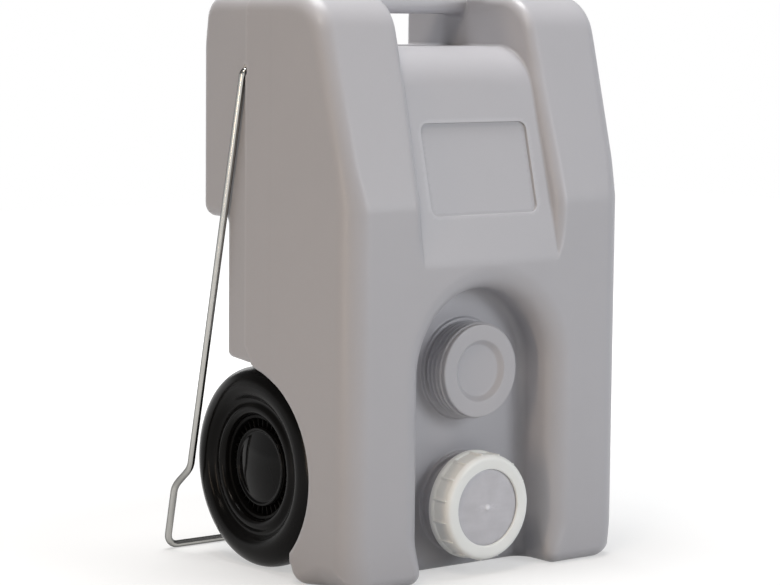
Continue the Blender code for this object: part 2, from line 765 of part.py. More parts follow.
def wheel_rim():
    """Rim: a shell under the tyre, a web, a hub tube, a cup for the hub cap and ribs."""
    shell = RIM_RADIUS - RIM_SHELL
    inner_face = WHEEL_MIDDLE - RIM_WIDTH / 2
    web_inner = WEB_OUTER - RIM_WEB
    cup_outer = HUB_CAP_RADIUS + GAP
    cup_inner = cup_outer - 0.0025
    bore = BUSH_RADIUS + GAP
    section = [(RIM_RADIUS, WHEEL_FACE), (RIM_RADIUS, inner_face), (shell, inner_face),
               (shell, web_inner), (HUB_RADIUS, web_inner), (HUB_RADIUS, HUB_INNER),
               (bore, HUB_INNER), (bore, HUB_OUTER), (HUB_RADIUS, HUB_OUTER),
               (HUB_RADIUS, WEB_OUTER), (cup_inner, WEB_OUTER), (cup_inner, CAP_SEAT - GAP),
               (cup_outer, CAP_SEAT - GAP), (cup_outer, WEB_OUTER), (shell, WEB_OUTER),
               (shell, WHEEL_FACE)]
    item = turned("wheel_rim_right", section, WHEEL_ROUND, wheel_plastic())
    bake(item)
    bm = bmesh.new()
    start = cup_outer - 0.0005
    end = shell + 0.0005
    low = WEB_OUTER - 0.001
    high = CAP_SEAT - GAP - 0.0005
    for i in range(RIM_RIBS):
        turn = Matrix.Rotation(2 * math.pi * (i + 0.5) / RIM_RIBS, 4, "Z")
        size = Matrix.Diagonal((end - start, RIM_RIB_WIDTH, high - low, 1.0))
        middle = Matrix.Translation(((start + end) / 2, 0, (low + high) / 2))
        bmesh.ops.create_cube(bm, size=1.0, matrix=turn @ middle @ size)
    ribs = add_cutter("rim_ribs", mesh_from(bm, "rim_ribs"))
    combine(item, [(ribs, "UNION")])
    return smooth(to_side(item))


def hub_cap():
    """Domed glossy cap with a skirt that fits into the rim's cup."""
    skirt_outer = HUB_CAP_RADIUS - 0.0025 - GAP
    skirt_inner = skirt_outer - HUB_CAP_WALL
    rise = HUB_CAP_CROWN
    edge = CAP_SEAT + HUB_CAP_WALL
    dome = []
    for i in range(4):
        share = i / 4
        dome.append(((HUB_CAP_RADIUS - 0.0008) * share, edge + rise * (1 - share * share)))
    section = dome + [(HUB_CAP_RADIUS - 0.0008, edge), (HUB_CAP_RADIUS, edge - 0.0008),
                      (HUB_CAP_RADIUS, CAP_SEAT), (skirt_outer, CAP_SEAT),
                      (skirt_outer, WEB_OUTER + 0.001), (skirt_inner, WEB_OUTER + 0.001),
                      (skirt_inner, CAP_SEAT)]
    section += [(skirt_inner * (1 - i / 2), CAP_SEAT + rise * (1 - (1 - i / 2) ** 2))
                for i in range(1, 3)]
    item = turned("hub_cap_right", section, WHEEL_ROUND, gloss_plastic())
    bake(item)
    return smooth(to_side(item))


def side_ring(name, inner, outer, low, high, finish, edge=0.0):
    """Plain turned ring about the X axis."""
    item = turned(name, ring_section(inner, outer, low, high, edge), ROUND, finish)
    bake(item)
    return smooth(to_side(item))


def wheels():
    """Both wheels, their bushes, washers and push nuts, and the axle."""
    bore = AXLE_RADIUS + RUNNING_GAP
    fit = AXLE_RADIUS + GAP
    washer = POCKET_WALL + GAP
    outer_washer = HUB_OUTER + GAP
    nut = outer_washer + WASHER_THICKNESS + GAP
    right = [
        wheel_tyre(),
        wheel_rim(),
        hub_cap(),
        side_ring("axle_bush_right", bore, BUSH_RADIUS, HUB_INNER, HUB_OUTER, bush_plastic()),
        side_ring("inner_washer_right", fit, WASHER_RADIUS, washer, washer + WASHER_THICKNESS,
                  zinc_steel()),
        side_ring("outer_washer_right", fit, WASHER_RADIUS, outer_washer,
                  outer_washer + WASHER_THICKNESS, zinc_steel()),
        side_ring("axle_push_nut_right", fit, NUT_RADIUS, nut, nut + NUT_THICKNESS,
                  zinc_steel(), 0.001),
    ]
    axle_end = NUT_END + 0.001
    profile = [(0.0, axle_end), (AXLE_RADIUS - 0.001, axle_end), (AXLE_RADIUS, axle_end - 0.001),
               (AXLE_RADIUS, 0.001 - axle_end), (AXLE_RADIUS - 0.001, -axle_end),
               (0.0, -axle_end)]
    axle = turned("wheel_axle", profile, 24, zinc_steel())
    bake(axle)
    smooth(to_side(axle))
    centre = Vector((0, FRONT_Y + AXLE_DEPTH, WHEEL_RADIUS))
    for item in right + [axle]:
        item.location = centre
    for item in right:
        mirrored(item, item.name.replace("right", "left"))


def bail_path():
    """Centre line of the right half of the bail, in its own frame, pivot first."""
    side = BAIL_PLANE
    points = [(side - BAIL_BEND - BAIL_TAIL, 0.0, 0.0), (side - BAIL_BEND, 0.0, 0.0)]
    for angle in (22.5, 45, 67.5, 90):
        turn = math.radians(angle)
        points.append((side - BAIL_BEND * (1 - math.sin(turn)), 0.0,
                       -BAIL_BEND * (1 - math.cos(turn))))
    span = BAIL_KINK_END - BAIL_KINK_START
    for i in range(9):
        share = i / 8
        ease = share * share * (3 - 2 * share)
        points.append((side, BAIL_KINK_OFFSET * ease, -(BAIL_KINK_START + span * share)))
    for angle in (0, 22.5, 45, 67.5, 90):
        turn = math.radians(angle)
        points.append((side - BAIL_CORNER * (1 - math.cos(turn)), BAIL_KINK_OFFSET,
                       -(BAIL_LENGTH - BAIL_CORNER * (1 - math.sin(turn)))))
    return points


def pull_bail():
    """Wire bail: bent ends in the pivots, two kinked legs and a crossbar."""
    right = bail_path()
    path = right + [(-x, y, z) for x, y, z in reversed(right)]
    curve = bpy.data.curves.new("pull_bail", "CURVE")
    curve.dimensions = "3D"
    curve.bevel_depth = WIRE_RADIUS
    curve.bevel_resolution = 2
    curve.use_fill_caps = True
    spline = curve.splines.new("POLY")
    spline.points.add(len(path) - 1)
    for point, place_at in zip(spline.points, path):
        point.co = (*place_at, 1.0)
    wire = bpy.data.objects.new("bail_wire", curve)
    bpy.data.collections["cutters"].objects.link(wire)
    graph = bpy.context.evaluated_depsgraph_get()
    mesh = bpy.data.meshes.new_from_object(wire.evaluated_get(graph))
    bpy.data.objects.remove(wire, do_unlink=True)
    bm = bmesh.new()
    bm.from_mesh(mesh)
    bmesh.ops.remove_doubles(bm, verts=bm.verts, dist=0.00001)
    bail = add_object("pull_bail", mesh_from(bm, "pull_bail"), bright_wire())
    bail.location = (0, FRONT_Y + PIVOT_DEPTH, PIVOT_HEIGHT)
    bail.rotation_euler.x = BAIL_ANGLE
    smooth(bail)
    bush = side_ring("bail_pivot_bush_right", WIRE_RADIUS + GAP, PIVOT_BUSH_RADIUS,
                     SIDE_INSET - PIVOT_BUSH_LENGTH, SIDE_INSET, bush_plastic())
    bush.location = bail.location
    mirrored(bush, "bail_pivot_bush_left")


def drain_cap():
    """Screw ring with grip ribs, the disc that it holds and the seal behind the disc."""
    back = CAP_FRONT_DEPTH + CAP_LENGTH
    lip = CAP_FRONT_DEPTH + CAP_LIP
    section = [(CAP_WINDOW + 0.0006, CAP_FRONT_DEPTH), (CAP_FRONT_RADIUS - 0.002, CAP_FRONT_DEPTH),
               (CAP_FRONT_RADIUS, CAP_FRONT_DEPTH + 0.002), (CAP_RADIUS, back - 0.003),
               (CAP_RADIUS + 0.001, back - 0.003), (CAP_RADIUS + 0.001, back),
               (CAP_BORE, back), (CAP_BORE, lip), (CAP_WINDOW, lip),
               (CAP_WINDOW, CAP_FRONT_DEPTH + 0.0006)]
    ring = turned("drain_cap_ring", [(r, -d) for r, d in section], FINE_ROUND, white_plastic())
    bake(ring)
    bm = bmesh.new()
    start = CAP_FRONT_DEPTH + 0.003
    for i in range(CAP_RIBS):
        turn = Matrix.Rotation(2 * math.pi * (i + 0.5) / CAP_RIBS, 4, "Z")
        size = Matrix.Diagonal((CAP_RIB_HEIGHT + 0.002, CAP_RIB_WIDTH, back - 0.001 - start, 1.0))
        radius = CAP_RADIUS + CAP_RIB_HEIGHT / 2 - 0.0014
        middle = Matrix.Translation((radius, 0, -(back - 0.001 + start) / 2))
        bmesh.ops.create_cube(bm, size=1.0, matrix=turn @ middle @ size)
    ribs = add_cutter("cap_ribs", mesh_from(bm, "cap_ribs"))
    combine(ring, [(ribs, "UNION")])
    smooth(to_front(ring))
    crown = CAP_WINDOW - GAP - 0.0005
    rise = DISC_CROWN
    section = [(0.0, DISC_DEPTH - rise), (0.6 * crown, DISC_DEPTH - 0.8 * rise),
               (0.9 * crown, DISC_DEPTH - 0.3 * rise), (crown, DISC_DEPTH),
               (DISC_RADIUS, DISC_DEPTH), (DISC_RADIUS, DISC_DEPTH + DISC_THICKNESS),
               (0.0, DISC_DEPTH + DISC_THICKNESS)]
    disc = turned("drain_cap_disc", [(r, -d) for r, d in section], FINE_ROUND, disc_plastic())
    bake(disc)
    smooth(to_front(disc))
    section = ring_section(DISC_RADIUS - SEAL_WIDTH, DISC_RADIUS, -SEAL_DEPTH - SEAL_THICKNESS,
                           -SEAL_DEPTH)
    seal = turned("drain_cap_seal", section, FINE_ROUND, seal_rubber())
    bake(seal)
    smooth(to_front(seal))
    for item in (ring, disc, seal):
        item.location = (0, FRONT_Y, DRAIN_NECK_HEIGHT)


def main():
    clear_scene()
    tank_body()
    drain_cap()
    wheels()
    pull_bail()


main()
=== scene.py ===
"""Portable waste water tank: the look of every surface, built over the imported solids.

The tank is one blow-moulded grey shell with a screw-capped drain, black wheels on a
through axle and a bright wire bail. Lengths are in metres and +Z is up. The front
faces -Y. Many sizes are measured as a depth behind the front face, like the CAD.
"""

from math import cos, pi, radians, sin, tan

import bmesh
import bpy
import numpy as np
from mathutils import Matrix, Vector


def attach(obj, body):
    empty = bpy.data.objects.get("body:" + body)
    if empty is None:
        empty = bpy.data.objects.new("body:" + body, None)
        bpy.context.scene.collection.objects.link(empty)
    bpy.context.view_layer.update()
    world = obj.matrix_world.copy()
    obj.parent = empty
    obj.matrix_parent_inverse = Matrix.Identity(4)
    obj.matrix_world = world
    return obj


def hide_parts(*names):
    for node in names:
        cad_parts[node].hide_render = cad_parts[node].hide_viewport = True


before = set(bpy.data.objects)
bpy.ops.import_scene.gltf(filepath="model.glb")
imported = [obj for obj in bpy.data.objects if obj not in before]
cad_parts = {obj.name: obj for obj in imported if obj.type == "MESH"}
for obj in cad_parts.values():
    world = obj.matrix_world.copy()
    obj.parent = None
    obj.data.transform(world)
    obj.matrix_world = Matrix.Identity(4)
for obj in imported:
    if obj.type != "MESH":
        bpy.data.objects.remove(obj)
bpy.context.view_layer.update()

# Sizes. Most are the solids' own, and the others were matched again for this model.
BODY_HEIGHT = 0.55
HALF_WIDTH = 0.179
BODY_DEPTH = 0.235
LOWER_DEPTH = 0.194
PARTING_DEPTH = 0.152
FRONT_Y = -0.14331
KNEE_HEIGHT = 0.356
EAR_SLOPE = radians(15.4)
KNEE_ROUND = 0.045
FRONT_DRAFT = radians(4.0)
REAR_DRAFT = radians(1.5)
SIDE_INSET = 0.1735
BELLY = 0.012
SIDE_EDGE = 0.023
EAR_TOP_ROUND = 0.045
FOOT_DEPTH = 0.0875
FOOT_ROUND = 0.017
FOOT_FRONT_ROUND = 0.012
PARTING_EDGE = 0.0014
PARTING_FILLET = 0.0012
REAR_START = 0.11
REAR_STEP = 0.0008
REAR_EDGE = 0.012
REAR_TOP_ROUND = 0.023
REAR_FOOT_ROUND = 0.024
BLOCK_ROUND = 0.012
BLOCK_FILLET = 0.006
BLOCK_BOTTOM = 0.335
CHEEK_HEIGHT = 0.218
CHEEK_END = 0.179
CHEEK_LEAN = (0.857, 0.514)
PANEL_KNEE = 0.3
PANEL_SLOPE = radians(13.5)
SHELF_HEIGHT = 0.5
SHELF_EDGE = 0.05
CHANNEL_HALF = 0.077
CHANNEL_WIDER = 0.0025
CHANNEL_SPREAD = 0.0055
BACK_MOUTH = 0.009
CHANNEL_MOUTH = 0.011
CHANNEL_CREASE = 0.003
PLATE_HALF = 0.065
PLATE_LENGTH = 0.088
PLATE_BOTTOM = 0.344
PLATE_DEPTH = 0.0025
PLATE_CORNER = 0.008
PLATE_EDGE = 0.0004
BAR_MIDDLE = 0.54
BAR_DEPTH = 0.156
BAR_FLAT = (0.011, 0.001)
BAR_ROUND = 0.008
BAR_END = 0.006
BAR_FILLET = 0.007
RECESS_HALF = 0.079
RECESS_DEPTH = 0.0455
RECESS_FLOOR_ROUND = 0.008
RECESS_MOUTH = 0.012
AXLE_DEPTH = 0.162
WHEEL_RADIUS = 0.097
WHEEL_MIDDLE = 0.1445
HUB_INNER = 0.1196
HUB_OUTER = 0.1427
TUNNEL_RADIUS = 0.0054
ARCH_RADIUS = 0.1012
CEILING = 0.1995
CEILING_SLOPE = 0.08
POCKET_WALL = 0.117
POCKET_ROUND = 0.004
POCKET_MOUTH = 0.006
BLIND_HEIGHT = 0.1946
BLIND_FACE = 0.0155
DRAIN_HEIGHT = 0.0652
DRAIN_FACE = 0.009
NECK_RADIUS = 0.0446
NECK_BORE = 0.0405
BORE_END = 0.09
THREAD_LEAD = 0.006
THREAD_START = 0.0034
THREAD_HEIGHT = 0.0017
GRIP_COUNT = 15
GRIP_SUNK = 0.0014
RIM_RIB_COUNT = 36
PIVOT_DEPTH = 0.156
PIVOT_HEIGHT = 0.4765
SOCKET_RADIUS = 0.0068
SOCKET_FLOOR = 0.1602
WIRE_RADIUS = 0.0035
BAIL_PLANE = 0.178
BAIL_ANGLE = radians(12.476)
BAIL_LENGTH = 0.489
SKIN_STEP = 0.0022
SKIN_TRIANGLES = 186000
BEND_REACH = 0.003


# Shapes as distance fields: negative inside the material

def round_cut(a, b, radius, lean=0.0):
    """Part of both a and b, with their shared edge rounded.

    lean is the cosine of the angle between the outward directions of a and b.
    """
    u = a + radius
    v = b + radius
    arc = np.sqrt(np.maximum(u * u + v * v - 2 * lean * u * v, 0) / (1 - lean * lean))
    within = (u > lean * v) & (v > lean * u) & (u + v > 0)
    return np.where(within, arc - radius, np.maximum(a, b))


def round_join(a, b, radius, lean=0.0):
    """a and b together, with a fillet in their corner."""
    return -round_cut(-a, -b, radius, lean)


def ramp(value, low, high):
    """Smooth rise from 0 to 1 as a value goes from low to high."""
    share = np.clip((value - low) / (high - low), 0, 1)
    return share * share * (3 - 2 * share)


def knee_depth(z, knee, slope, radius):
    """Depth of a surface that is upright below a rounded knee and leans back above it."""
    start = knee - radius * tan(slope / 2)
    rise = np.clip(z - start, 0, radius * sin(slope))
    arc = radius - np.sqrt(radius * radius - rise * rise)
    return np.where(z > start + radius * sin(slope), (z - knee) * tan(slope), arc)


def channel_drop(z):
    """How far the panel and the shelf's edge lie behind the ears at a height."""
    ears = knee_depth(z, KNEE_HEIGHT, EAR_SLOPE, KNEE_ROUND)
    panel = knee_depth(z, PANEL_KNEE, PANEL_SLOPE, KNEE_ROUND)
    corner = (SHELF_HEIGHT - PANEL_KNEE) * tan(PANEL_SLOPE)
    middle = corner + SHELF_EDGE * tan(pi / 4 - PANEL_SLOPE / 2)
    rise = np.clip(z - SHELF_HEIGHT + SHELF_EDGE, 0, SHELF_EDGE)
    arc = middle - np.sqrt(SHELF_EDGE * SHELF_EDGE - rise * rise)
    turned = rise > SHELF_EDGE * sin(PANEL_SLOPE)
    depth = np.where(turned, arc, panel) - ears
    return np.where(z > SHELF_HEIGHT, 0.05, np.maximum(depth, 0))


def leaning(d, z, height, slope):
    """Plane that leans back from the front face above a height."""
    return (z - height) * sin(slope) - d * cos(slope)


def knee_face(d, z, knee, slope):
    """Front face that leans back above a rounded knee."""
    return round_cut(-d, leaning(d, z, knee, slope), KNEE_ROUND, cos(slope))


def rounded_bar(u, v, radius):
    """Bar with rounded corners, from how far a place lies past the flats of its sides."""
    return np.hypot(np.maximum(u, 0), np.maximum(v, 0)) + np.minimum(np.maximum(u, v), 0) - radius


def plate_outline(side, z):
    """Distance from the outline of the shallow plate, measured along the panel."""
    along = np.abs((z - PLATE_BOTTOM) / cos(PANEL_SLOPE) - PLATE_LENGTH / 2)
    return rounded_bar(side - PLATE_HALF + PLATE_CORNER, along - PLATE_LENGTH / 2 + PLATE_CORNER,
                       PLATE_CORNER)


def outer_form(side, d, z):
    """Both mould halves, joined at the parting line."""
    face = knee_face(d, z, KNEE_HEIGHT, EAR_SLOPE)
    face = round_cut(face, z - BODY_HEIGHT, EAR_TOP_ROUND, sin(EAR_SLOPE))
    foot = np.minimum(BELLY - z, round_cut(-z, d - FOOT_DEPTH, FOOT_ROUND))
    face = round_cut(face, foot, FOOT_FRONT_ROUND)
    wall = (side - HALF_WIDTH + (PARTING_DEPTH - d) * tan(FRONT_DRAFT)) * cos(FRONT_DRAFT)
    # the side's edge is tighter at the ears and behind the foot, and rounder at its front
    edge = (SIDE_EDGE - 0.006 * ramp(z, 0.345, 0.4) + 0.002 * ramp(z, 0.5, 0.545)
            + 0.005 * (1 - ramp(z, 0.0, 0.04))
            - 0.016 * ramp(d, 0.04, 0.075) * (1 - ramp(z, 0.025, 0.06)))
    front = round_cut(face, wall, edge)
    slant = CHEEK_LEAN[0] * (d - PARTING_DEPTH) - CHEEK_LEAN[1] * (z - CHEEK_HEIGHT)
    cheek = np.maximum(d - PARTING_DEPTH, np.where(z > CHEEK_END, slant, -1.0))
    front = round_cut(front, cheek, PARTING_EDGE)
    block = round_cut(d - BODY_DEPTH, BLOCK_BOTTOM - z, BLOCK_ROUND)
    back = round_join(d - LOWER_DEPTH, block, BLOCK_FILLET)
    back = round_cut(back, z - BODY_HEIGHT + REAR_STEP, REAR_TOP_ROUND)
    back = round_cut(back, BELLY + REAR_STEP - z, REAR_FOOT_ROUND)
    flank = (side - SIDE_INSET + (d - PARTING_DEPTH) * tan(REAR_DRAFT)) * cos(REAR_DRAFT)
    edge = REAR_EDGE + 0.007 * ramp(z, 0.495, 0.54)
    rear = np.maximum(round_cut(back, flank, edge), REAR_START - d)
    return round_join(front, rear, PARTING_FILLET)


def tank_field(x, d, z):
    """The whole moulded tank. x runs across, d back from the front face and z up."""
    side = np.abs(x)
    body = outer_form(side, d, z)
    # channel between the ears, over the panel and the shelf
    drop = channel_drop(z)
    panel = knee_face(d, z, PANEL_KNEE, PANEL_SLOPE)
    panel = round_cut(panel, z - SHELF_HEIGHT, SHELF_EDGE, sin(PANEL_SLOPE))
    ears = knee_face(d, z, KNEE_HEIGHT, EAR_SLOPE)
    lean = np.clip(1 - drop * cos(EAR_SLOPE) / (CHANNEL_MOUTH + CHANNEL_CREASE), 0, 0.998)
    steep = np.sqrt(1 - lean * lean)
    spread = np.clip((SHELF_HEIGHT - z) / (SHELF_HEIGHT - PANEL_KNEE), 0, 1)
    across = (CHANNEL_HALF + CHANNEL_WIDER + CHANNEL_SPREAD * spread
              - CHANNEL_CREASE * (1 - steep) - side)
    wall = across * steep + (CHANNEL_MOUTH * (1 - lean) + ears) * lean
    open_space = round_join(wall, panel, CHANNEL_CREASE, lean)
    behind = ramp(d - (z - KNEE_HEIGHT) * tan(EAR_SLOPE), 0.03, 0.06) * ramp(z, 0.47, 0.49)
    mouth = CHANNEL_MOUTH + (BACK_MOUTH - CHANNEL_MOUTH) * behind
    body = round_cut(body, open_space, mouth, lean)
    # handle bar
    bar = rounded_bar(np.abs(d - BAR_DEPTH) - BAR_FLAT[0], np.abs(z - BAR_MIDDLE) - BAR_FLAT[1],
                      BAR_ROUND)
    bar = np.maximum(bar, side - CHANNEL_HALF - BAR_END)
    body = round_join(body, bar, BAR_FILLET - 0.0065 * ramp(z, 0.522, 0.5485))
    # recess round the necks
    arch = np.hypot(side, np.maximum(z - BLIND_HEIGHT, 0)) - RECESS_HALF
    hollow = round_cut(arch, d - RECESS_DEPTH, RECESS_FLOOR_ROUND)
    body = round_cut(body, -hollow, RECESS_MOUTH + 0.012 * ramp(z, 0.008, 0.045))
    # pockets over the wheels
    arch = np.minimum(np.hypot(d - AXLE_DEPTH, z - WHEEL_RADIUS) - ARCH_RADIUS,
                      np.maximum(FOOT_DEPTH - d, z - WHEEL_RADIUS))
    ceiling = z - CEILING - CEILING_SLOPE * (d - PARTING_DEPTH)
    arch = np.minimum(arch, np.maximum(PARTING_DEPTH - d, ceiling))
    pocket = round_cut(POCKET_WALL - side, arch, POCKET_ROUND)
    body = round_cut(body, -pocket, POCKET_MOUTH)
    # shallow bare plate on the panel
    face = leaning(d, z, PANEL_KNEE, PANEL_SLOPE)
    step = round_cut(plate_outline(side, z) * 0.9, -face - PLATE_DEPTH, PLATE_EDGE)
    body = round_cut(body, -step, PLATE_EDGE)
    # bore of the drain neck, axle tunnel and sockets of the bail
    bore = np.maximum(np.hypot(side, z - DRAIN_HEIGHT) - NECK_BORE, d - BORE_END)
    tunnel = np.hypot(d - AXLE_DEPTH, z - WHEEL_RADIUS) - TUNNEL_RADIUS
    socket = np.hypot(d - PIVOT_DEPTH, z - PIVOT_HEIGHT) - SOCKET_RADIUS
    socket = np.maximum(socket, SOCKET_FLOOR - side)
    return np.maximum(body, -np.minimum(np.minimum(bore, tunnel), socket))


def surface_slope(points):
    """How the tank's field changes at each point, along each axis."""
    reach = 0.0003
    slope = np.empty_like(points)
    for axis in range(3):
        step = np.zeros(3)
        step[axis] = reach
        rise = tank_field(*(points + step).T) - tank_field(*(points - step).T)
        slope[:, axis] = rise / (2 * reach)
    return slope


def settle(points, rounds):
    """Move points onto the tank's surface."""
    for _ in range(rounds):
        slope = surface_slope(points)
        size = np.maximum((slope ** 2).sum(1), 0.02)
        move = np.clip(tank_field(*points.T) / size, -0.0015, 0.0015)
        points = points - slope * move[:, None]
    return points


def skin(field, low, step):
    """Four-sided faces over the zero level of a field sampled on a grid."""
    inside = field < 0
    cells = tuple(count - 1 for count in field.shape)
    total = int(np.prod(cells))
    sums = np.zeros((total, 3))
    counts = np.zeros(total)
    quads = []
    for axis in range(3):
        first = [slice(None)] * 3
        second = [slice(None)] * 3
        first[axis] = slice(0, -1)
        second[axis] = slice(1, None)
        start = np.argwhere(inside[tuple(first)] != inside[tuple(second)])
        end = start.copy()
        end[:, axis] += 1
        here = field[tuple(start.T)]
        there = field[tuple(end.T)]
        point = start.astype(float)
        point[:, axis] += here / (here - there)
        one, two = (axis + 1) % 3, (axis + 2) % 3
        corners = []
        for back_one, back_two in ((0, 0), (1, 0), (1, 1), (0, 1)):
            cell = start.copy()
            cell[:, one] -= back_one
            cell[:, two] -= back_two
            index = np.ravel_multi_index(tuple(cell.T), cells)
            for k in range(3):
                sums[:, k] += np.bincount(index, weights=point[:, k], minlength=total)
            counts += np.bincount(index, minlength=total)
            corners.append(index)
        quad = np.stack(corners, 1)
        turned = here > 0
        quad[turned] = quad[turned][:, ::-1]
        quads.append(quad)
    used = counts > 0
    number = np.cumsum(used) - 1
    points = sums[used] / counts[used][:, None] * step + np.array(low)
    return points, number[np.concatenate(quads)]


def grid_of_tank():
    """The tank's field on a grid, worked out for one side and mirrored."""
    x = (np.arange(86) + 0.5) * SKIN_STEP
    d = -0.0049 + np.arange(113) * SKIN_STEP
    z = -0.0051 + np.arange(257) * SKIN_STEP
    half = tank_field(x[:, None, None], d[None, :, None], z[None, None, :])
    half = np.broadcast_to(half, (86, 113, 257))
    return np.concatenate([half[::-1], half]), (-x[-1], d[0], z[0])


def near_plate(points):
    """Points on or beside the edge of the shallow plate."""
    outline = plate_outline(np.abs(points[:, 0]), points[:, 2])
    return (np.abs(outline) < 0.0028) & (points[:, 1] < 0.045)


def outward(points):
    """Directions out of the tank's surface, one long."""
    slope = surface_slope(points)
    return slope / (np.linalg.norm(slope, axis=1)[:, None] + 1e-9)


def refine(bm):
    """Split the edges that turn sharply, and those at the plate's edge."""
    points = np.array([v.co for v in bm.verts])
    slope = outward(points)
    bm.verts.index_update()
    ends = np.array([(e.verts[0].index, e.verts[1].index) for e in bm.edges])
    length = np.linalg.norm(points[ends[:, 0]] - points[ends[:, 1]], axis=1)
    turn = (slope[ends[:, 0]] * slope[ends[:, 1]]).sum(1)
    plate = near_plate(points)
    split = ((turn < 0.94) | plate[ends].any(1)) & (length > 0.0007)
    bm.edges.ensure_lookup_table()
    chosen = [bm.edges[i] for i in np.flatnonzero(split)]
    bmesh.ops.subdivide_edges(bm, edges=chosen, cuts=1, use_grid_fill=True)
    bmesh.ops.triangulate(bm, faces=[f for f in bm.faces if len(f.verts) > 4])
    points = settle(np.array([v.co for v in bm.verts]), 3)
    for v, point in zip(bm.verts, points):
        v.co = point


def placed(name, data):
    """New object in the scene that holds a mesh, a lamp or a camera."""
    item = bpy.data.objects.new(name, data)
    bpy.context.scene.collection.objects.link(item)
    return item


def finished(name, mesh, material, body, *nodes, slot=None):
    """Link a mesh that is already in place, with its material and body, and hide the CAD nodes it
    stands in for.
    """
    piece = placed(name, mesh)
    mesh.materials.clear()
    mesh.materials.append(material)
    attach(piece, body)
    if nodes:
        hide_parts(*nodes)
    return piece


def evaluated(piece):
    """Plain mesh of an object with its modifiers worked in; the object goes."""
    graph = bpy.context.evaluated_depsgraph_get()
    mesh = bpy.data.meshes.new_from_object(piece.evaluated_get(graph))
    bpy.data.objects.remove(piece, do_unlink=True)
    return mesh


def tank_shell_mesh():
    """Skin of the moulded tank, fine at its edges and coarser where it is flat."""
    field, low = grid_of_tank()
    points, quads = skin(field, low, SKIN_STEP)
    points = settle(points, 3)
    mesh = bpy.data.meshes.new("tank_skin")
    mesh.from_pydata(points.tolist(), [], quads.tolist())
    bm = bmesh.new()
    bm.from_mesh(mesh)
    refine(bm)
    refine(bm)
    bmesh.ops.triangulate(bm, faces=bm.faces)
    bm.to_mesh(mesh)
    bm.free()
    rough = placed("tank_skin", mesh)
    thin = rough.modifiers.new("Thin", "DECIMATE")
    thin.ratio = min(1.0, SKIN_TRIANGLES / len(mesh.polygons))
    mesh = evaluated(rough)
    points = np.zeros(len(mesh.vertices) * 3)
    mesh.vertices.foreach_get("co", points)
    points = settle(points.reshape(-1, 3), 2)
    slope = outward(points)
    around = 0.0
    for axis in range(3):
        step = np.zeros(3)
        step[axis] = BEND_REACH
        around = around + tank_field(*(points + step).T) + tank_field(*(points - step).T)
    bend = np.clip((around - 6 * tank_field(*points.T)) / BEND_REACH, -1, 1)
    points[:, 1] += FRONT_Y
    mesh.vertices.foreach_set("co", points.ravel())
    mesh.update()
    # edge_bend also drives the shell's painted edge highlight and painted crease shade
    fold = mesh.attributes.new("edge_bend", "FLOAT", "POINT")
    fold.data.foreach_set("value", bend.astype(np.float32))
    flat = np.zeros(len(mesh.polygons) * 3)
    mesh.polygons.foreach_get("normal", flat)
    corner = np.zeros(len(mesh.loops), int)
    mesh.loops.foreach_get("vertex_index", corner)
    of_face = np.repeat(flat.reshape(-1, 3), 3, axis=0)
    of_point = slope[corner]
    away = (of_face * of_point).sum(1) < 0.8
    of_point[away] = of_face[away]
    mesh.shade_smooth()
    mesh.normals_split_custom_set(of_point.tolist())
    return mesh


def soften(points, rounds=2, closed=False):
    """Cut the corners of a rough profile until it is smooth. Open ends stay."""
    points = np.array(points, float)
    for _ in range(rounds):
        following = np.roll(points, -1, axis=0)
        one = points * 0.75 + following * 0.25
        two = points * 0.25 + following * 0.75
        if closed:
            points = np.stack([one, two], 1).reshape(-1, 2)
        else:
            middle = np.stack([one[:-1], two[:-1]], 1).reshape(-1, 2)
            points = np.concatenate([points[:1], middle, points[-1:]])
    return points


def smooth_mesh(name, bm, angle):
    """Mesh with what bm holds, smooth but for edges that turn by more than an angle."""
    mesh = bpy.data.meshes.new(name)
    bm.to_mesh(mesh)
    bm.free()
    mesh.shade_smooth()
    mesh.set_sharp_from_angle(angle=radians(angle))
    return mesh


def lay_grid(name, grid, closed_profile=False, angle=40.0):
    """Mesh over rows of points that close round the first way of the grid."""
    rows, columns = grid.shape[:2]
    number = np.arange(rows * columns).reshape(rows, columns)
    beside = np.roll(number, -1, axis=0)
    if closed_profile:
        onward, beside_onward = np.roll(number, -1, axis=1), np.roll(beside, -1, axis=1)
    else:
        onward, beside_onward = number[:, 1:], beside[:, 1:]
        number, beside = number[:, :-1], beside[:, :-1]
    quads = np.stack([number, beside, beside_onward, onward], -1).reshape(-1, 4)
    bm = bmesh.new()
    for point in grid.reshape(-1, 3):
        bm.verts.new(point)
    bm.verts.ensure_lookup_table()
    for quad in quads.tolist():
        bm.faces.new([bm.verts[i] for i in quad])
    bmesh.ops.remove_doubles(bm, verts=bm.verts, dist=0.000005)
    bmesh.ops.recalc_face_normals(bm, faces=bm.faces)
    return smooth_mesh(name, bm, angle)


def angles(steps):
    """Even steps round a circle, one to a row."""
    return np.linspace(0, 2 * pi, steps, endpoint=False)[:, None]


def front_grid(turn, height, *bands):
    """Points about an axis that runs to the front, from bands of radius and depth."""
    radius = np.hstack([band[0] + 0 * turn for band in bands])
    depth = np.concatenate([band[1] for band in bands])
    return np.stack([radius * np.cos(turn), depth + FRONT_Y + 0 * turn,
                     height + radius * np.sin(turn)], -1)


def turned_front(name, profile, steps, height, closed=True, angle=40.0):
    """Piece turned about an axis that runs to the front. profile holds (radius, depth)."""
    return lay_grid(name, front_grid(angles(steps), height, np.array(profile).T), closed, angle)


def turned_side(name, profile, steps, sign, closed=True, angle=40.0,
                depth=AXLE_DEPTH, height=WHEEL_RADIUS):
    """Piece turned about an axis across the tank. profile holds (radius, distance out)."""
    radius, out = np.array(profile).T
    turn = angles(steps)
    grid = np.stack([sign * out + 0 * turn, depth + FRONT_Y + radius * np.cos(turn),
                     height + radius * np.sin(turn)], -1)
    return lay_grid(name, grid, closed, angle)


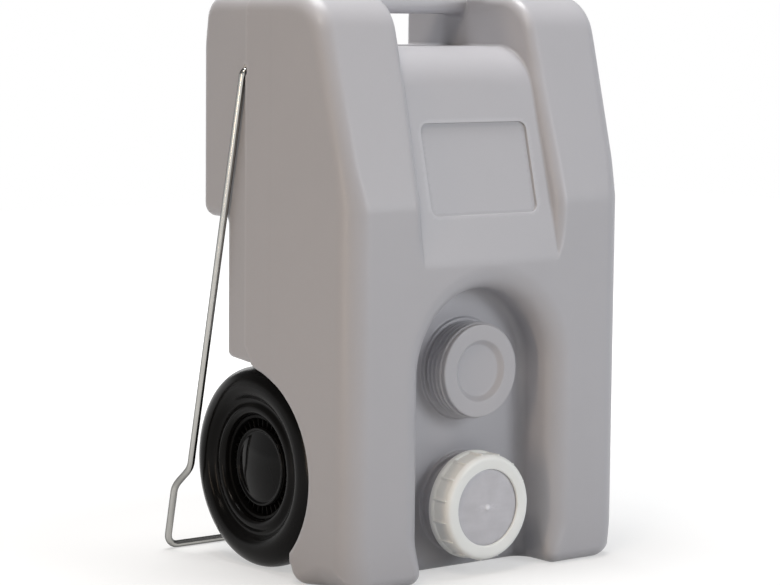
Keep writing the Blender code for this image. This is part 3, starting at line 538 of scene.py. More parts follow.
def threaded_neck(name, height, face, opening, last):
    """Screw neck with a single thread, a soft flange and an open or dished face.

    last is the number of turns after which the thread runs out.
    """
    turn = angles(160)
    if opening:
        start = [(NECK_BORE, 0.06), (NECK_BORE, face + 0.002),
                 (NECK_BORE + 0.0006, face + 0.0004), (NECK_BORE + 0.0014, face),
                 (0.0432, face), (0.0441, face + 0.0003), (NECK_RADIUS, face + 0.0014)]
    else:
        start = [(0.0, face + 0.005), (0.012, face + 0.005), (0.0236, face + 0.005),
                 (0.025, face + 0.0046), (0.0272, face + 0.0024), (0.0292, face + 0.0003),
                 (0.0304, face), (0.036, face), (0.0425, face), (0.044, face + 0.0002),
                 (NECK_RADIUS, face + 0.0011)]
    start = soften(start)
    stations = np.arange(face + 0.0016, 0.0405, 0.00036)
    end = soften([(NECK_RADIUS, 0.0406), (NECK_RADIUS + 0.0003, 0.0417), (0.0478, 0.0419),
                  (0.0487, 0.0424), (0.0489, 0.0436), (0.0492, 0.0449), (0.05, 0.0454),
                  (0.0525, 0.0458)])
    if not opening:
        end = np.concatenate([end, [(0.0, 0.047)]])
    first = face + THREAD_START
    along = (stations - first) / THREAD_LEAD - turn / (2 * pi)
    nearest = np.round(along)
    ridge = 1 - ramp(np.abs(along - nearest) * THREAD_LEAD, 0.00045, 0.0015)
    travelled = nearest + turn / (2 * pi)
    shown = ramp(travelled, 0.0, 0.12) * (1 - ramp(travelled, last, last + 0.12))
    wall = NECK_RADIUS + THREAD_HEIGHT * ridge * shown
    grid = front_grid(turn, height, start.T, (wall, stations), end.T)
    return lay_grid(name, grid, opening, 60.0)


def cap_ring_mesh():
    """Screw ring: rolled front rim, sloping face, sunk panels and a plain back rim."""
    turn = angles(GRIP_COUNT * 24)
    front = soften([(0.0367, 0.0039), (0.0367, 0.0024), (0.0372, 0.0018), (0.0384, 0.0016),
                    (0.043, 0.0012), (0.0458, 0.0011), (0.0476, 0.0014), (0.049, 0.0023),
                    (0.0499, 0.0036), (0.0504, 0.005)])
    stations = np.concatenate([np.linspace(0.0052, 0.0084, 12), np.linspace(0.0094, 0.0206, 12),
                               np.linspace(0.0212, 0.0232, 9)])
    skirt = 0.0505 + (stations - 0.0052) * 0.06
    back = soften([(0.0516, 0.0234), (0.0521, 0.0242), (0.0522, 0.0252), (0.0522, 0.0272),
                   (0.0519, 0.0281), (0.0508, 0.0281), (0.0485, 0.0281), (0.0476, 0.0278),
                   (0.0475, 0.0268)])
    inner = np.array([(0.0475, 0.015), (0.0475, 0.0041), (0.0473, 0.0039), (0.042, 0.0039)])
    sector = np.abs(((turn / (2 * pi) * GRIP_COUNT) % 1) - 0.5) * 2 * pi / GRIP_COUNT
    sunk = 1 - ramp(sector * 0.0515, 0.0089, 0.0101)
    along = ramp(stations, 0.0058, 0.0078) * (1 - ramp(stations, 0.0218, 0.023))
    wall = skirt - GRIP_SUNK * sunk * along
    grid = front_grid(turn, DRAIN_HEIGHT, front.T, (wall, stations), back.T, inner.T)
    return lay_grid("drain_cap_screw_ring", grid, True, 60.0)


def rib_block(inner, outer, low, high, width, edge):
    """One rib, standing on the local X axis, with broken edges and a narrower crest."""
    bm = bmesh.new()
    bmesh.ops.create_cube(bm, size=1.0)
    for v in bm.verts:
        crest = v.co.z > 0
        v.co = ((outer if v.co.x > 0 else inner), v.co.y * width * (0.7 if crest else 1.0),
                (high if crest else low))
    bmesh.ops.bevel(bm, geom=list(bm.edges), offset=edge, segments=2, affect="EDGES", profile=0.5)
    return smooth_mesh("rib_block", bm, 50.0)


def feed(tree, node, given):
    """Set a node's inputs to values, or link the sockets that feed them."""
    for key, value in given.items():
        socket = node.inputs[key.replace("_", " ") if isinstance(key, str) else key]
        if isinstance(value, bpy.types.NodeSocket):
            tree.links.new(value, socket)
        else:
            socket.default_value = value


def add_node(tree, kind, given=None, family="Shader", **settings):
    """Node with its settings. given holds input values, or the sockets that feed them."""
    node = tree.nodes.new(family + "Node" + kind)
    for key, value in settings.items():
        setattr(node, key, value)
    feed(tree, node, given or {})
    return node


def calculate(tree, operation, *values):
    """Math node over numbers or sockets."""
    return add_node(tree, "Math", dict(enumerate(values)), operation=operation).outputs[0]


def layered(tree, value, *layers):
    """Value with each layer added to it at the layer's weight."""
    for layer, weight in layers:
        value = calculate(tree, "MULTIPLY_ADD", layer, weight, value)
    return value


def of_places(tree, operation, *values):
    """Outputs of a vector math node over places or sockets."""
    return add_node(tree, "VectorMath", dict(enumerate(values)), operation=operation).outputs


def rib_tree():
    """Nodes that repeat a rib round an axis."""
    tree = bpy.data.node_groups.new("ribs_round_an_axis", "GeometryNodeTree")
    made = tree.interface.new_socket
    made("Geometry", in_out="OUTPUT", socket_type="NodeSocketGeometry")
    for name, kind in (("Rib", "Geometry"), ("Rib Count", "Int"), ("Material", "Material")):
        made(name, in_out="INPUT", socket_type="NodeSocket" + kind)
    given = tree.nodes.new("NodeGroupInput").outputs
    index = add_node(tree, "InputIndex", family="Geometry").outputs[0]
    turn = calculate(tree, "MULTIPLY", calculate(tree, "DIVIDE", index, given["Rib Count"]),
                     2 * pi)
    around = add_node(tree, "CombineXYZ", {"Z": turn}).outputs[0]
    spots = add_node(tree, "Points", {"Count": given["Rib Count"]}, "Geometry").outputs[0]
    ribs = add_node(tree, "InstanceOnPoints", {"Points": spots, "Instance": given["Rib"],
                                               "Rotation": around}, "Geometry").outputs[0]
    solid = add_node(tree, "RealizeInstances", {0: ribs}, "Geometry").outputs[0]
    whole = add_node(tree, "SetMaterial", {"Geometry": solid, "Material": given["Material"]},
                     "Geometry").outputs[0]
    feed(tree, tree.nodes.new("NodeGroupOutput"), {"Geometry": whole})
    return tree


def ribs_round(name, rib, count, material, matrix):
    """Mesh of ribs set round the local Z axis by the node tree, then put in place."""
    carrier = placed(name, rib)
    tree = bpy.data.node_groups.get("ribs_round_an_axis") or rib_tree()
    step = carrier.modifiers.new("Ribs", "NODES")
    step.node_group = tree
    values = {"Rib Count": count, "Material": material}
    for item in tree.interface.items_tree:
        if item.item_type == "SOCKET" and item.in_out == "INPUT" and item.name in values:
            step[item.identifier] = values[item.name]
    mesh = evaluated(carrier)
    mesh.transform(matrix)
    return mesh


def wire_mesh(name, path, radius, sides):
    """Round wire along a path, with rounded ends."""
    path = np.array(path, float)
    ahead = np.gradient(path, axis=0)
    ahead /= np.linalg.norm(ahead, axis=1)[:, None]
    across = np.cross(ahead[0], (0.0, 1.0, 0.0))
    rings = []
    turn = angles(sides)
    for point, way in zip(path, ahead):
        across = across - way * across.dot(way)
        across /= np.linalg.norm(across)
        other = np.cross(way, across)
        rings.append(point + radius * (np.cos(turn) * across + np.sin(turn) * other))
    def end(ring, point, way):
        return [point + (ring - point) * s + way * radius * 0.5 * c
                for s, c in ((0.93, 0.35), (0.7, 0.72), (0.36, 0.93), (0.0, 1.0))]
    first = end(rings[0], path[0], -ahead[0])[::-1]
    last = end(rings[-1], path[-1], ahead[-1])
    grid = np.stack(first + rings + last, 1)
    return lay_grid(name, grid, False, 60.0)


# Surfaces

def between(tree, value, low, high, to_low=0.0, to_high=1.0):
    """Value carried from one range to another, and kept within it."""
    return add_node(tree, "MapRange", {"Value": value, "From Min": low, "From Max": high,
                                       "To Min": to_low, "To Max": to_high}).outputs[0]


def varied(tree, value, low, high):
    """Noise value, most of which lies between 0.3 and 0.7, carried to a range of its own."""
    return between(tree, value, 0.3, 0.7, low, high)


def noise(tree, where, scale, detail=2.0, roughness=0.5, stretch=None):
    """Noise value at a place that can be stretched first."""
    if stretch:
        where = of_places(tree, "MULTIPLY", where, stretch)[0]
    return add_node(tree, "TexNoise", {"Vector": where, "Scale": scale, "Detail": detail,
                                       "Roughness": roughness}).outputs["Fac"]


def effect(name, inputs, outputs):
    """Start a shared node group. Gives the tree, its inputs and its output node."""
    tree = bpy.data.node_groups.new(name, "ShaderNodeTree")
    for socket, kind, value in inputs:
        made = tree.interface.new_socket(socket, in_out="INPUT", socket_type="NodeSocket" + kind)
        if value is not None:
            made.default_value = value
    for socket, kind in outputs:
        tree.interface.new_socket(socket, in_out="OUTPUT", socket_type="NodeSocket" + kind)
    return tree, tree.nodes.new("NodeGroupInput").outputs, tree.nodes.new("NodeGroupOutput")


def moulded_grain():
    """Fine grain and slow cloud of a moulded plastic."""
    tree, given, out = effect("moulded_grain",
                              [("Place", "Vector", None), ("Grain Size", "Float", 0.0011),
                               ("Cloud Size", "Float", 0.1)],
                              [("Grain", "Float"), ("Cloud", "Float"), ("Fleck", "Float")])
    close = calculate(tree, "DIVIDE", 1.0, given["Grain Size"])
    wide = calculate(tree, "DIVIDE", 1.0, given["Cloud Size"])
    grain = noise(tree, given["Place"], close, 3.0, 0.6)
    cloud = noise(tree, given["Place"], wide, 3.0, 0.55)
    finer = calculate(tree, "MULTIPLY", close, 1.9)
    fleck = noise(tree, given["Place"], finer, 1.0)
    feed(tree, out, {"Grain": grain, "Cloud": cloud, "Fleck": fleck})
    return tree


def rub_marks():
    """Faint rubbed streaks along one direction, in loose patches."""
    tree, given, out = effect("rub_marks",
                              [("Place", "Vector", None), ("Stretch", "Vector", None),
                               ("Amount", "Float", 0.5)],
                              [("Marks", "Float")])
    drawn = of_places(tree, "MULTIPLY", given["Place"], given["Stretch"])[0]
    lines = between(tree, noise(tree, drawn, 60.0, 4.0, 0.7), 0.6, 0.74)
    patch = between(tree, noise(tree, given["Place"], 14.0), 0.46, 0.66)
    marks = calculate(tree, "MULTIPLY", calculate(tree, "MULTIPLY", lines, patch), given["Amount"])
    feed(tree, out, {"Marks": marks})
    return tree


def ring_marks():
    """Fine turned rings round an axis through a centre, and how far out a place is."""
    tree, given, out = effect("ring_marks",
                              [("Place", "Vector", None), ("Centre", "Vector", None),
                               ("Across", "Vector", None), ("Spacing", "Float", 0.0009)],
                              [("Rings", "Float"), ("Distance", "Float")])
    offset = of_places(tree, "SUBTRACT", given["Place"], given["Centre"])[0]
    flat = of_places(tree, "MULTIPLY", offset, given["Across"])[0]
    away = of_places(tree, "LENGTH", flat)["Value"]
    place = calculate(tree, "DIVIDE", away, given["Spacing"])
    rings = noise(tree, add_node(tree, "CombineXYZ", {"X": place}).outputs[0], 1.0)
    feed(tree, out, {"Rings": rings, "Distance": away})
    return tree


def shared(tree, name, **values):
    """Use one of the shared groups in a material."""
    makers = {"moulded_grain": moulded_grain, "rub_marks": rub_marks, "ring_marks": ring_marks}
    node = tree.nodes.new("ShaderNodeGroup")
    node.node_tree = bpy.data.node_groups.get(name) or makers[name]()
    feed(tree, node, values)
    return node.outputs


def surface(name, **values):
    """New material. Gives it with its tree and the place of each point."""
    material = bpy.data.materials.new(name)
    material.use_nodes = True
    tree = material.node_tree
    feed(tree, tree.nodes["Principled BSDF"], values)
    return material, tree, add_node(tree, "TexCoord").outputs["Object"]


def plastic(name, grain_size, cloud_size, **values):
    """New material of a moulded plastic, as surface does, with its shared grain."""
    material, tree, place = surface(name, **values)
    grain = shared(tree, "moulded_grain", Place=place, Grain_Size=grain_size,
                   Cloud_Size=cloud_size)
    return material, tree, place, grain


def dressed(material, color, shade, rough, height, distance, strength):
    """Feed a material's colour, scaled by a shade near one, its roughness and its bump."""
    tree = material.node_tree
    tint = add_node(tree, "VectorMath", {0: color, 3: shade}, operation="SCALE").outputs[0]
    bump = add_node(tree, "Bump", {"Height": height, "Distance": distance,
                                   "Strength": strength}).outputs[0]
    feed(tree, tree.nodes["Principled BSDF"],
         {"Base Color": tint, "Roughness": rough, "Normal": bump})
    return material


def grey_shell_surface():
    """Light grey moulded polyethylene: satin, finely grained, rubbed at its edges, with a painted
    highlight along its convex edges and painted shade in its creases.
    """
    material, tree, place, grain = plastic("grey_polyethylene_shell", 0.0012, 0.085, IOR=1.5)
    marks = shared(tree, "rub_marks", Place=place, Stretch=(1.0, 1.0, 0.1), Amount=0.8)["Marks"]
    fold = add_node(tree, "Attribute", attribute_name="edge_bend").outputs["Fac"]
    # convex edges: rubbed wear in the roughness, and a painted highlight that lightens their
    # colour
    wear_and_edge_highlight = between(tree, fold, 0.12, 0.6)
    # concave creases: painted shade that darkens their colour
    painted_crease_shade = between(tree, fold, -0.12, -0.6)
    shade = varied(tree, grain["Cloud"], 0.985, 1.015)
    speck = between(tree, grain["Fleck"], 0.35, 0.65, 0.988, 1.012)
    shade = calculate(tree, "MULTIPLY", shade, speck)
    # colour: random cloud and specks, rub marks, painted edge highlight and painted crease shade
    shade = layered(tree, shade, (wear_and_edge_highlight, 0.065), (painted_crease_shade, -0.07), (marks, 0.018))
    rough = varied(tree, grain["Cloud"], 0.37, 0.45)
    rough = layered(tree, rough, (wear_and_edge_highlight, -0.1), (marks, 0.08))
    height = layered(tree, grain["Grain"], (noise(tree, place, 38.0), 3.0))
    # a fine raised line along the parting of the mould
    y = add_node(tree, "SeparateXYZ", {0: place}).outputs["Y"]
    away = calculate(tree, "ABSOLUTE", calculate(tree, "SUBTRACT", y, FRONT_Y + PARTING_DEPTH))
    height = calculate(tree, "ADD", height, between(tree, away, 0.0003, 0.0008, 3.0, 0.0))
    return dressed(material, BODY_COLOR, shade, rough, height, 0.0001, 0.7)


def white_cap_surface():
    """White polypropylene of the screw ring."""
    material, tree, place, grain = plastic("white_polypropylene_cap", 0.0008, 0.025, IOR=1.49)
    rings = shared(tree, "ring_marks", Place=place, Centre=DRAIN_CENTRE,
                   Across=(1.0, 0.0, 1.0), Spacing=0.0007)["Rings"]
    return dressed(material, CAP_COLOR, varied(tree, grain["Cloud"], 0.975, 1.01),
                   varied(tree, rings, 0.33, 0.45),
                   calculate(tree, "ADD", grain["Grain"], rings), 0.00006, 0.6)


def disc_surface():
    """Pale grey disc, faintly clouded and streaked by the flow of the plastic, with a painted
    glint and painted glint streaks at its centre.
    """
    material, tree, place, grain = plastic("pale_grey_disc", 0.001, 0.018, IOR=1.49)
    marks = shared(tree, "rub_marks", Place=place, Stretch=(0.16, 1.0, 1.0), Amount=1.0)["Marks"]
    away = shared(tree, "ring_marks", Place=place, Centre=DRAIN_CENTRE,
                  Across=(1.0, 0.0, 1.0), Spacing=0.001)
    # painted glint: a small bright spot at the disc's centre
    centre_glint = between(tree, away["Distance"], 0.0012, 0.0034, 1.0, 0.0)
    flow = noise(tree, place, 130.0, 3.0, 0.6, (0.22, 1.0, 1.0))
    shade = calculate(tree, "MULTIPLY", varied(tree, grain["Cloud"], 0.95, 1.04),
                      varied(tree, flow, 0.965, 1.035))
    # painted streaks of the centre glint, spread sideways and fading from the centre
    band = shared(tree, "ring_marks", Place=place, Centre=DRAIN_CENTRE,
                  Across=(0.22, 0.0, 1.0))["Distance"]
    drawn = noise(tree, place, 420.0, 4.0, 0.7, (0.3, 1.0, 1.0))
    glint_streaks = calculate(tree, "MULTIPLY", between(tree, band, 0.0008, 0.0042, 1.0, 0.0),
                       between(tree, drawn, 0.45, 0.62))
    shade = layered(tree, shade, (marks, 0.06), (glint_streaks, 0.22), (centre_glint, 0.55))
    return dressed(material, DISC_COLOR, shade, varied(tree, grain["Cloud"], 0.3, 0.46),
                   calculate(tree, "ADD", flow, away["Rings"]), 0.0001, 0.5)


def tyre_surface():
    """Black moulded tyre, with fine rings left by its mould."""
    material, tree, place, grain = plastic("black_tyre_plastic", 0.0009, 0.04, IOR=1.5,
                                           Specular_IOR_Level=0.09)
    rings = shared(tree, "ring_marks", Place=place, Across=(0.0, 1.0, 1.0), Spacing=0.0011,
                   Centre=(0.0, FRONT_Y + AXLE_DEPTH, WHEEL_RADIUS))
    tread = between(tree, rings["Distance"], 0.092, 0.0965, 0.0, 0.14)
    rough = calculate(tree, "ADD", varied(tree, rings["Rings"], 0.15, 0.21), tread)
    height = layered(tree, grain["Grain"], (rings["Rings"], 1.5))
    return dressed(material, BLACK_COLOR, varied(tree, grain["Cloud"], 0.85, 1.2), rough,
                   height, 0.00005, 0.8)


def rim_surface():
    """Black plastic of the rim and its ribs, duller than the tyre."""
    material, tree, _, grain = plastic("black_rim_plastic", 0.0008, 0.02, IOR=1.5,
                                       Specular_IOR_Level=0.06)
    return dressed(material, BLACK_COLOR, varied(tree, grain["Cloud"], 0.85, 1.25),
                   varied(tree, grain["Cloud"], 0.34, 0.46), grain["Grain"], 0.00006, 0.7)


def gloss_cap_surface():
    """Glossy black hub cap, with faint hairlines and dust."""
    material, tree, place, grain = plastic("gloss_black_hub_cap", 0.0006, 0.03, IOR=1.5,
                                           Specular_IOR_Level=0.085)
    marks = shared(tree, "rub_marks", Place=place, Stretch=(1.0, 1.0, 0.12), Amount=0.7)["Marks"]
    shade = layered(tree, varied(tree, grain["Cloud"], 0.9, 1.1), (marks, 1.4))
    rough = layered(tree, varied(tree, grain["Cloud"], 0.04, 0.09), (marks, 0.16))
    return dressed(material, GLOSS_COLOR, shade, rough, noise(tree, place, 45.0), 0.00012, 0.5)


def metal_surface(name, color, low, high, stretch, painted_edge_reflection=0.0):
    """Plated steel with fine drawn lines along one way. Its edges can take a painted dark
    reflection, set by how far they turn away from the camera.
    """
    material, tree, place = surface(name, Metallic=1.0)
    drawn = noise(tree, place, 900.0, 3.0, 0.6, stretch)
    cloud = noise(tree, place, 60.0)
    shade = calculate(tree, "MULTIPLY", varied(tree, drawn, 0.93, 1.03),
                      varied(tree, cloud, 0.94, 1.03))
    # painted reflection: colour darkened where the surface turns away from the camera
    if painted_edge_reflection:
        facing = add_node(tree, "LayerWeight", {"Blend": 0.5}).outputs["Facing"]
        darker = between(tree, facing, 0.22, 0.66, 1.0, 1.0 - painted_edge_reflection)
        shade = calculate(tree, "MULTIPLY", shade, darker)
    rough = calculate(tree, "ADD", varied(tree, drawn, low, high),
                      between(tree, cloud, 0.4, 0.7, 0.0, 0.05))
    return dressed(material, color, shade, rough, drawn, 0.00003, 0.5)


def plain_moulding(name, color, low, high):
    """Small moulded part in nylon or rubber."""
    material, tree, _, grain = plastic(name, 0.0005, 0.01, IOR=1.5)
    return dressed(material, color, varied(tree, grain["Cloud"], 0.94, 1.05),
                   varied(tree, grain["Grain"], low, high), grain["Grain"], 0.00005, 0.6)


BODY_COLOR = (0.455, 0.45, 0.474)
CAP_COLOR = (0.905, 0.92, 0.9)
DISC_COLOR = (0.565, 0.56, 0.595)
BLACK_COLOR = (0.0048, 0.0046, 0.0046)
GLOSS_COLOR = (0.0038, 0.0038, 0.004)
WIRE_COLOR = (0.44, 0.435, 0.415)
ZINC_COLOR = (0.6, 0.6, 0.585)
NYLON_COLOR = (0.72, 0.71, 0.67)
RUBBER_COLOR = (0.03, 0.03, 0.031)
DRAIN_CENTRE = (0.0, 0.0, DRAIN_HEIGHT)

grey_shell = grey_shell_surface()
white_cap = white_cap_surface()
pale_disc = disc_surface()
black_tyre = tyre_surface()
black_rim = rim_surface()
gloss_cap = gloss_cap_surface()
bright_wire = metal_surface("bright_plated_wire", WIRE_COLOR, 0.1, 0.17, (1.0, 0.25, 0.06), 0.9)
zinc = metal_surface("zinc_plated_steel", ZINC_COLOR, 0.24, 0.38, (0.08, 1.0, 1.0))
white_nylon = plain_moulding("white_nylon_bush", NYLON_COLOR, 0.34, 0.46)
seal_rubber = plain_moulding("black_seal_rubber", RUBBER_COLOR, 0.55, 0.7)


# The moulded tank with its two necks

finished("moulded_tank_shell", tank_shell_mesh(), grey_shell, "tank",
         "tank_body", slot="grey_polyethylene")
for name, height, face, opening, last in (("blind_neck", BLIND_HEIGHT, BLIND_FACE, False, 3.5),
                                          ("drain_neck", DRAIN_HEIGHT, DRAIN_FACE, True, 4.3)):
    finished(name, threaded_neck(name, height, face, opening, last), grey_shell, "tank",
             slot="grey_polyethylene")


# The drain cap: screw ring, disc and seal

to_drain = Matrix.Translation((0, FRONT_Y, DRAIN_HEIGHT)) @ Matrix.Rotation(pi / 2, 4, "X")
finished("drain_screw_ring", cap_ring_mesh(), white_cap, "cap_ring", "drain_cap_ring",
         slot="white_polypropylene")
grip_rib = rib_block(0.049, 0.0517, -0.024, -0.0052, 0.0019, 0.0005)
grips = ribs_round("drain_ring_grip_ribs", grip_rib, GRIP_COUNT, white_cap, to_drain)
finished("drain_ring_grip_ribs", grips, white_cap, "cap_ring", slot="white_polypropylene")
disc_profile = soften([(0.0, 0.0022), (0.001, 0.0022), (0.0024, 0.0024), (0.0033, 0.0031),
                       (0.0046, 0.0033), (0.012, 0.0033), (0.02, 0.0034), (0.028, 0.0036),
                       (0.033, 0.0038), (0.0352, 0.004), (0.0362, 0.0043)])
disc_profile = np.concatenate([disc_profile, [(0.0455, 0.0043), (0.0455, 0.0063), (0.0, 0.0063)]])
disc = turned_front("drain_cap_disc", disc_profile, 120, DRAIN_HEIGHT, closed=False)
finished("drain_cap_disc", disc, pale_disc, "cap_insert", "drain_cap_disc", slot="pale_grey_disc")
seal_profile = soften([(0.0455, 0.0068), (0.0455, 0.0084), (0.0451, 0.0086), (0.0411, 0.0086),
                       (0.0407, 0.0084), (0.0407, 0.0068), (0.0411, 0.0066), (0.0451, 0.0066)],
                      1, closed=True)
seal = turned_front("drain_cap_seal", seal_profile, 96, DRAIN_HEIGHT)
finished("drain_cap_seal", seal, seal_rubber, "cap_insert", "drain_cap_seal", slot="seal_rubber")


# Wheels on their axle

def wheel(side, sign):
    """Tyre, ribbed rim and hub cap of one wheel."""
    body = "wheel_" + side
    outer = [(0.097, 0.0), (0.0969, 0.004), (0.0963, 0.0078), (0.0948, 0.0115),
             (0.0925, 0.0145), (0.0895, 0.017), (0.0855, 0.0193), (0.0815, 0.0206),
             (0.0775, 0.021), (0.074, 0.0205), (0.0712, 0.0192), (0.0692, 0.0172),
             (0.0674, 0.0148), (0.0656, 0.0132), (0.0638, 0.0128), (0.0622, 0.0132),
             (0.0604, 0.0143), (0.0586, 0.0153), (0.0566, 0.0158), (0.0548, 0.0157),
             (0.0532, 0.015), (0.0519, 0.0136), (0.0511, 0.0118), (0.0508, 0.0102)]
    out = soften([(r, WHEEL_MIDDLE + a) for r, a in outer])
    back = soften([(r, WHEEL_MIDDLE - a) for r, a in outer])
    profile = np.concatenate([out, back[:0:-1]])
    tyre = turned_side("wheel_tyre", profile, 160, sign, angle=50)
    finished("wheel_tyre_" + side, tyre, black_tyre, body, "wheel_tyre_" + side,
             slot="black_wheel_plastic")
    section = [(0.0505, 0.153), (0.0505, 0.1355), (0.0473, 0.1355), (0.0473, 0.1398),
               (0.016, 0.1398), (0.016, HUB_INNER), (0.0083, HUB_INNER), (0.0083, HUB_OUTER),
               (0.016, HUB_OUTER), (0.016, 0.1438), (0.0358, 0.1438), (0.0358, 0.151),
               (0.0363, 0.1515), (0.0378, 0.1515), (0.0383, 0.151), (0.0383, 0.1438),
               (0.0473, 0.1438), (0.0473, 0.153), (0.0478, 0.1535), (0.05, 0.1535)]
    rim = turned_side("wheel_rim", section, 128, sign, angle=30)
    finished("wheel_rim_" + side, rim, black_rim, body, "wheel_rim_" + side,
             slot="black_wheel_plastic")
    to_wheel = (Matrix.Translation((0, FRONT_Y + AXLE_DEPTH, WHEEL_RADIUS))
                @ Matrix.Rotation(sign * pi / 2, 4, "Y"))
    spoke = rib_block(0.038, 0.0476, 0.1435, 0.1492, 0.0015, 0.0003)
    ribs = ribs_round("rim_ribs", spoke, RIM_RIB_COUNT, black_rim, to_wheel)
    finished("rim_ribs_" + side, ribs, black_rim, body, slot="black_wheel_plastic")
    dome = soften([(0.0, 0.1562), (0.008, 0.156), (0.016, 0.1553), (0.024, 0.1541),
                   (0.03, 0.1529), (0.0338, 0.152), (0.0346, 0.1523), (0.0352, 0.1531),
                   (0.0362, 0.1535), (0.0372, 0.1534), (0.0379, 0.1528), (0.038, 0.1522),
                   (0.0379, 0.1517)])
    skirt = [(0.0352, 0.151), (0.0352, 0.1448), (0.0336, 0.1448), (0.0336, 0.1502),
             (0.02, 0.153), (0.0, 0.1545)]
    cap = turned_side("hub_cap", np.concatenate([dome, skirt]), 128, sign, closed=False)
    finished("hub_cap_" + side, cap, gloss_cap, body, "hub_cap_" + side,
             slot="gloss_black_plastic")


def small_ring(name, inner, outer, low, high, sign, material, body, slot, edge=0.0003,
               depth=AXLE_DEPTH, height=WHEEL_RADIUS):
    """Turned ring across the tank, with its four round edges broken."""
    section = [(inner + edge, low), (outer - edge, low), (outer, low + edge),
               (outer, high - edge), (outer - edge, high), (inner + edge, high),
               (inner, high - edge), (inner, low + edge)]
    mesh = turned_side(name, section, 72, sign, angle=30, depth=depth, height=height)
    return finished(name, mesh, material, body, name, slot=slot)


for side, sign in (("left", -1), ("right", 1)):
    wheel(side, sign)
    small_ring("axle_bush_" + side, 0.0054, 0.008, HUB_INNER, HUB_OUTER, sign, white_nylon,
               "wheel_" + side, "white_nylon", 0.0004)
    small_ring("inner_washer_" + side, 0.0053, 0.012, 0.1173, 0.1193, sign, zinc, "tank",
               "zinc_steel")
    small_ring("outer_washer_" + side, 0.0053, 0.012, 0.143, 0.145, sign, zinc, "tank",
               "zinc_steel")
    nut = soften([(0.0053, 0.1453), (0.0086, 0.1453), (0.009, 0.1456), (0.009, 0.1463),
                  (0.008, 0.147), (0.007, 0.1482), (0.0066, 0.1491), (0.006, 0.1493),
                  (0.0053, 0.1492)], 1, closed=True)
    finished("axle_push_nut_" + side, turned_side("push_nut", nut, 72, sign), zinc, "tank",
             "axle_push_nut_" + side, slot="zinc_steel")
    small_ring("bail_pivot_bush_" + side, 0.0038, 0.0065, 0.1605, 0.1735, sign, white_nylon,
               "tank", "white_nylon", 0.0004, PIVOT_DEPTH, PIVOT_HEIGHT)

axle_end = [(0.0, 0.1503), (0.0036, 0.1503), (0.0044, 0.1501), (0.0049, 0.1496), (0.005, 0.1489)]
axle_profile = axle_end + [(r, -x) for r, x in axle_end[::-1]]
finished("wheel_axle", turned_side("wheel_axle", axle_profile, 64, 1, closed=False), zinc,
         "tank", "wheel_axle", slot="zinc_steel")


# The wire bail

def bail_path():
    """Centre line of the bail, from its left pivot to its right one."""
    bend, corner, tail = 0.0045, 0.012, 0.012
    kink_start, kink_end, offset = 0.393, 0.432, 0.022
    half = [(BAIL_PLANE - bend - tail, 0.0, 0.0), (BAIL_PLANE - bend - tail / 2, 0.0, 0.0)]
    for angle in np.linspace(0, pi / 2, 9):
        half.append((BAIL_PLANE - bend * (1 - sin(angle)), 0.0, -bend * (1 - cos(angle))))
    for drop in np.linspace(0.02, kink_start - 0.004, 14):
        half.append((BAIL_PLANE, 0.0, -drop))
    for share in np.linspace(0, 1, 17):
        half.append((BAIL_PLANE, offset * share * share * (3 - 2 * share),
                     -(kink_start + (kink_end - kink_start) * share)))
    half.append((BAIL_PLANE, offset, -(kink_end + BAIL_LENGTH - corner) / 2))
    for angle in np.linspace(0, pi / 2, 11):
        half.append((BAIL_PLANE - corner * (1 - cos(angle)), offset,
                     -(BAIL_LENGTH - corner * (1 - sin(angle)))))
    half += [(x, offset, -BAIL_LENGTH) for x in np.linspace(BAIL_PLANE - corner - 0.01, 0, 9)]
    whole = half + [(-x, y, z) for x, y, z in half[-2::-1]]
    turn = Matrix.Rotation(BAIL_ANGLE, 4, "X")
    pivot = Vector((0, FRONT_Y + PIVOT_DEPTH, PIVOT_HEIGHT))
    return [tuple(turn @ Vector(point) + pivot) for point in whole[::-1]]


finished("pull_bail_wire", wire_mesh("pull_bail", bail_path(), WIRE_RADIUS, 24), bright_wire,
         "bail", "pull_bail", slot="bright_wire")


# Floor, light and camera

def floor_surface():
    """Pale floor that holds a soft shadow and stays near white to the camera."""
    material = bpy.data.materials.new("pale_floor")
    material.use_nodes = True
    tree = material.node_tree
    tree.nodes.clear()
    seen = camera_share(tree)
    place = add_node(tree, "TexCoord").outputs["Object"]
    away = of_places(tree, "LENGTH", place)["Value"]
    lift = between(tree, away, 0.35, 1.6, 0.48, 0.95)
    diffuse = add_node(tree, "BsdfDiffuse", {"Color": (0.5, 0.5, 0.5, 1.0)})
    glow = add_node(tree, "Emission", {"Color": (1.0, 1.0, 1.0, 1.0),
                                       "Strength": calculate(tree, "MULTIPLY", seen, lift)})
    both = add_node(tree, "AddShader", {0: diffuse.outputs[0], 1: glow.outputs[0]})
    add_node(tree, "OutputMaterial", {"Surface": both.outputs[0]})
    return material


def camera_share(tree):
    """1 for rays that show a thing itself or its mirror image, otherwise 0."""
    path = add_node(tree, "LightPath").outputs
    seen = calculate(tree, "MAXIMUM", path["Is Camera Ray"], path["Is Glossy Ray"])
    return calculate(tree, "MAXIMUM", seen, path["Is Transmission Ray"])


def lamp(name, place, aim, size, power, color):
    """Soft rectangular lamp that looks at a point."""
    data = bpy.data.lights.new(name, "AREA")
    data.shape = "RECTANGLE"
    data.size, data.size_y = size
    data.energy = power
    data.color = color
    item = placed(name, data)
    look = Vector(aim) - Vector(place)
    item.rotation_euler = look.to_track_quat("-Z", "Y").to_euler()
    item.location = place


slab = bmesh.new()
bmesh.ops.create_grid(slab, x_segments=1, y_segments=1, size=4.0)
floor_mesh = bpy.data.meshes.new("floor")
slab.to_mesh(floor_mesh)
slab.free()
floor = placed("floor", floor_mesh)
floor_mesh.materials.append(floor_surface())

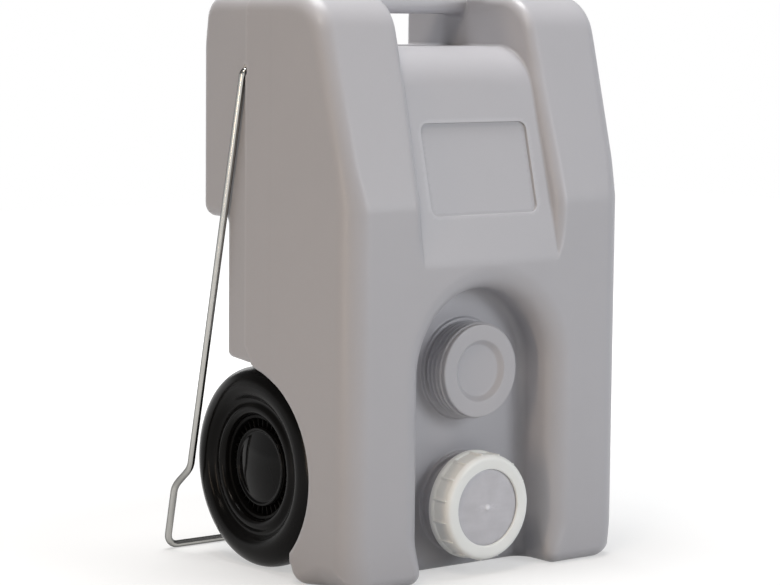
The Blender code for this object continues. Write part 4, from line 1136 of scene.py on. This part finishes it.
AMBIENT = 0.15
world = bpy.data.worlds.new("studio")
bpy.context.scene.world = world
world.use_nodes = True
sky = world.node_tree
way = add_node(sky, "TexCoord").outputs["Generated"]
up = add_node(sky, "SeparateXYZ", {0: way}).outputs["Z"]
white = calculate(sky, "MULTIPLY", camera_share(sky), between(sky, up, 0.12, 0.32, 1.0, 0.1))
level = calculate(sky, "MULTIPLY_ADD", white, 1.0 - AMBIENT, AMBIENT)
feed(sky, sky.nodes["Background"], {"Color": (1.0, 1.0, 1.0, 1.0), "Strength": level})

MIDDLE = (0.0, 0.0, 0.3)
LEFT_SIDE = (-0.18, -0.03, 0.22)
NEUTRAL, COOL = (1.0, 1.0, 1.0), (0.93, 0.96, 1.0)
WARM, WARMER = (1.0, 0.89, 0.77), (1.0, 0.78, 0.58)
lamp("top_softbox", (0.05, 0.12, 2.6), MIDDLE, size=(1.2, 1.0), power=49.0, color=NEUTRAL)
lamp("front_softbox", (1.1, -2.4, 0.9), MIDDLE, size=(1.2, 1.2), power=25.5, color=COOL)
lamp("corner_softbox", (-1.3, -0.9, 2.0), MIDDLE, size=(0.6, 0.6), power=11.0, color=WARM)
lamp("left_softbox", (-1.35, -0.4, 0.22), LEFT_SIDE, size=(0.1, 0.9), power=4.0, color=WARMER)
lamp("back_softbox", (0.7, 2.4, 1.2), MIDDLE, size=(1.0, 1.0), power=9.0, color=NEUTRAL)

CAMERA_PLACE = (-1.6393, -2.0449, 0.5374)
CAMERA_AHEAD = (0.6198, 0.7776, -0.106)
CAMERA_ROLL = radians(0.57)
camera_data = bpy.data.cameras.new("camera")
camera_data.sensor_width = 36
camera_data.lens = 123.65
camera = placed("camera", camera_data)
ahead = Vector(CAMERA_AHEAD).normalized()
right = ahead.cross(Vector((0, 0, 1))).normalized()
upward = right.cross(ahead)
level_right = right * cos(CAMERA_ROLL) + upward * sin(CAMERA_ROLL)
level_up = upward * cos(CAMERA_ROLL) - right * sin(CAMERA_ROLL)
camera.matrix_world = Matrix.Translation(CAMERA_PLACE) @ Matrix(
    (level_right, level_up, -ahead)).transposed().to_4x4()
scene = bpy.context.scene
scene.camera = camera
scene.view_settings.view_transform = "Standard"
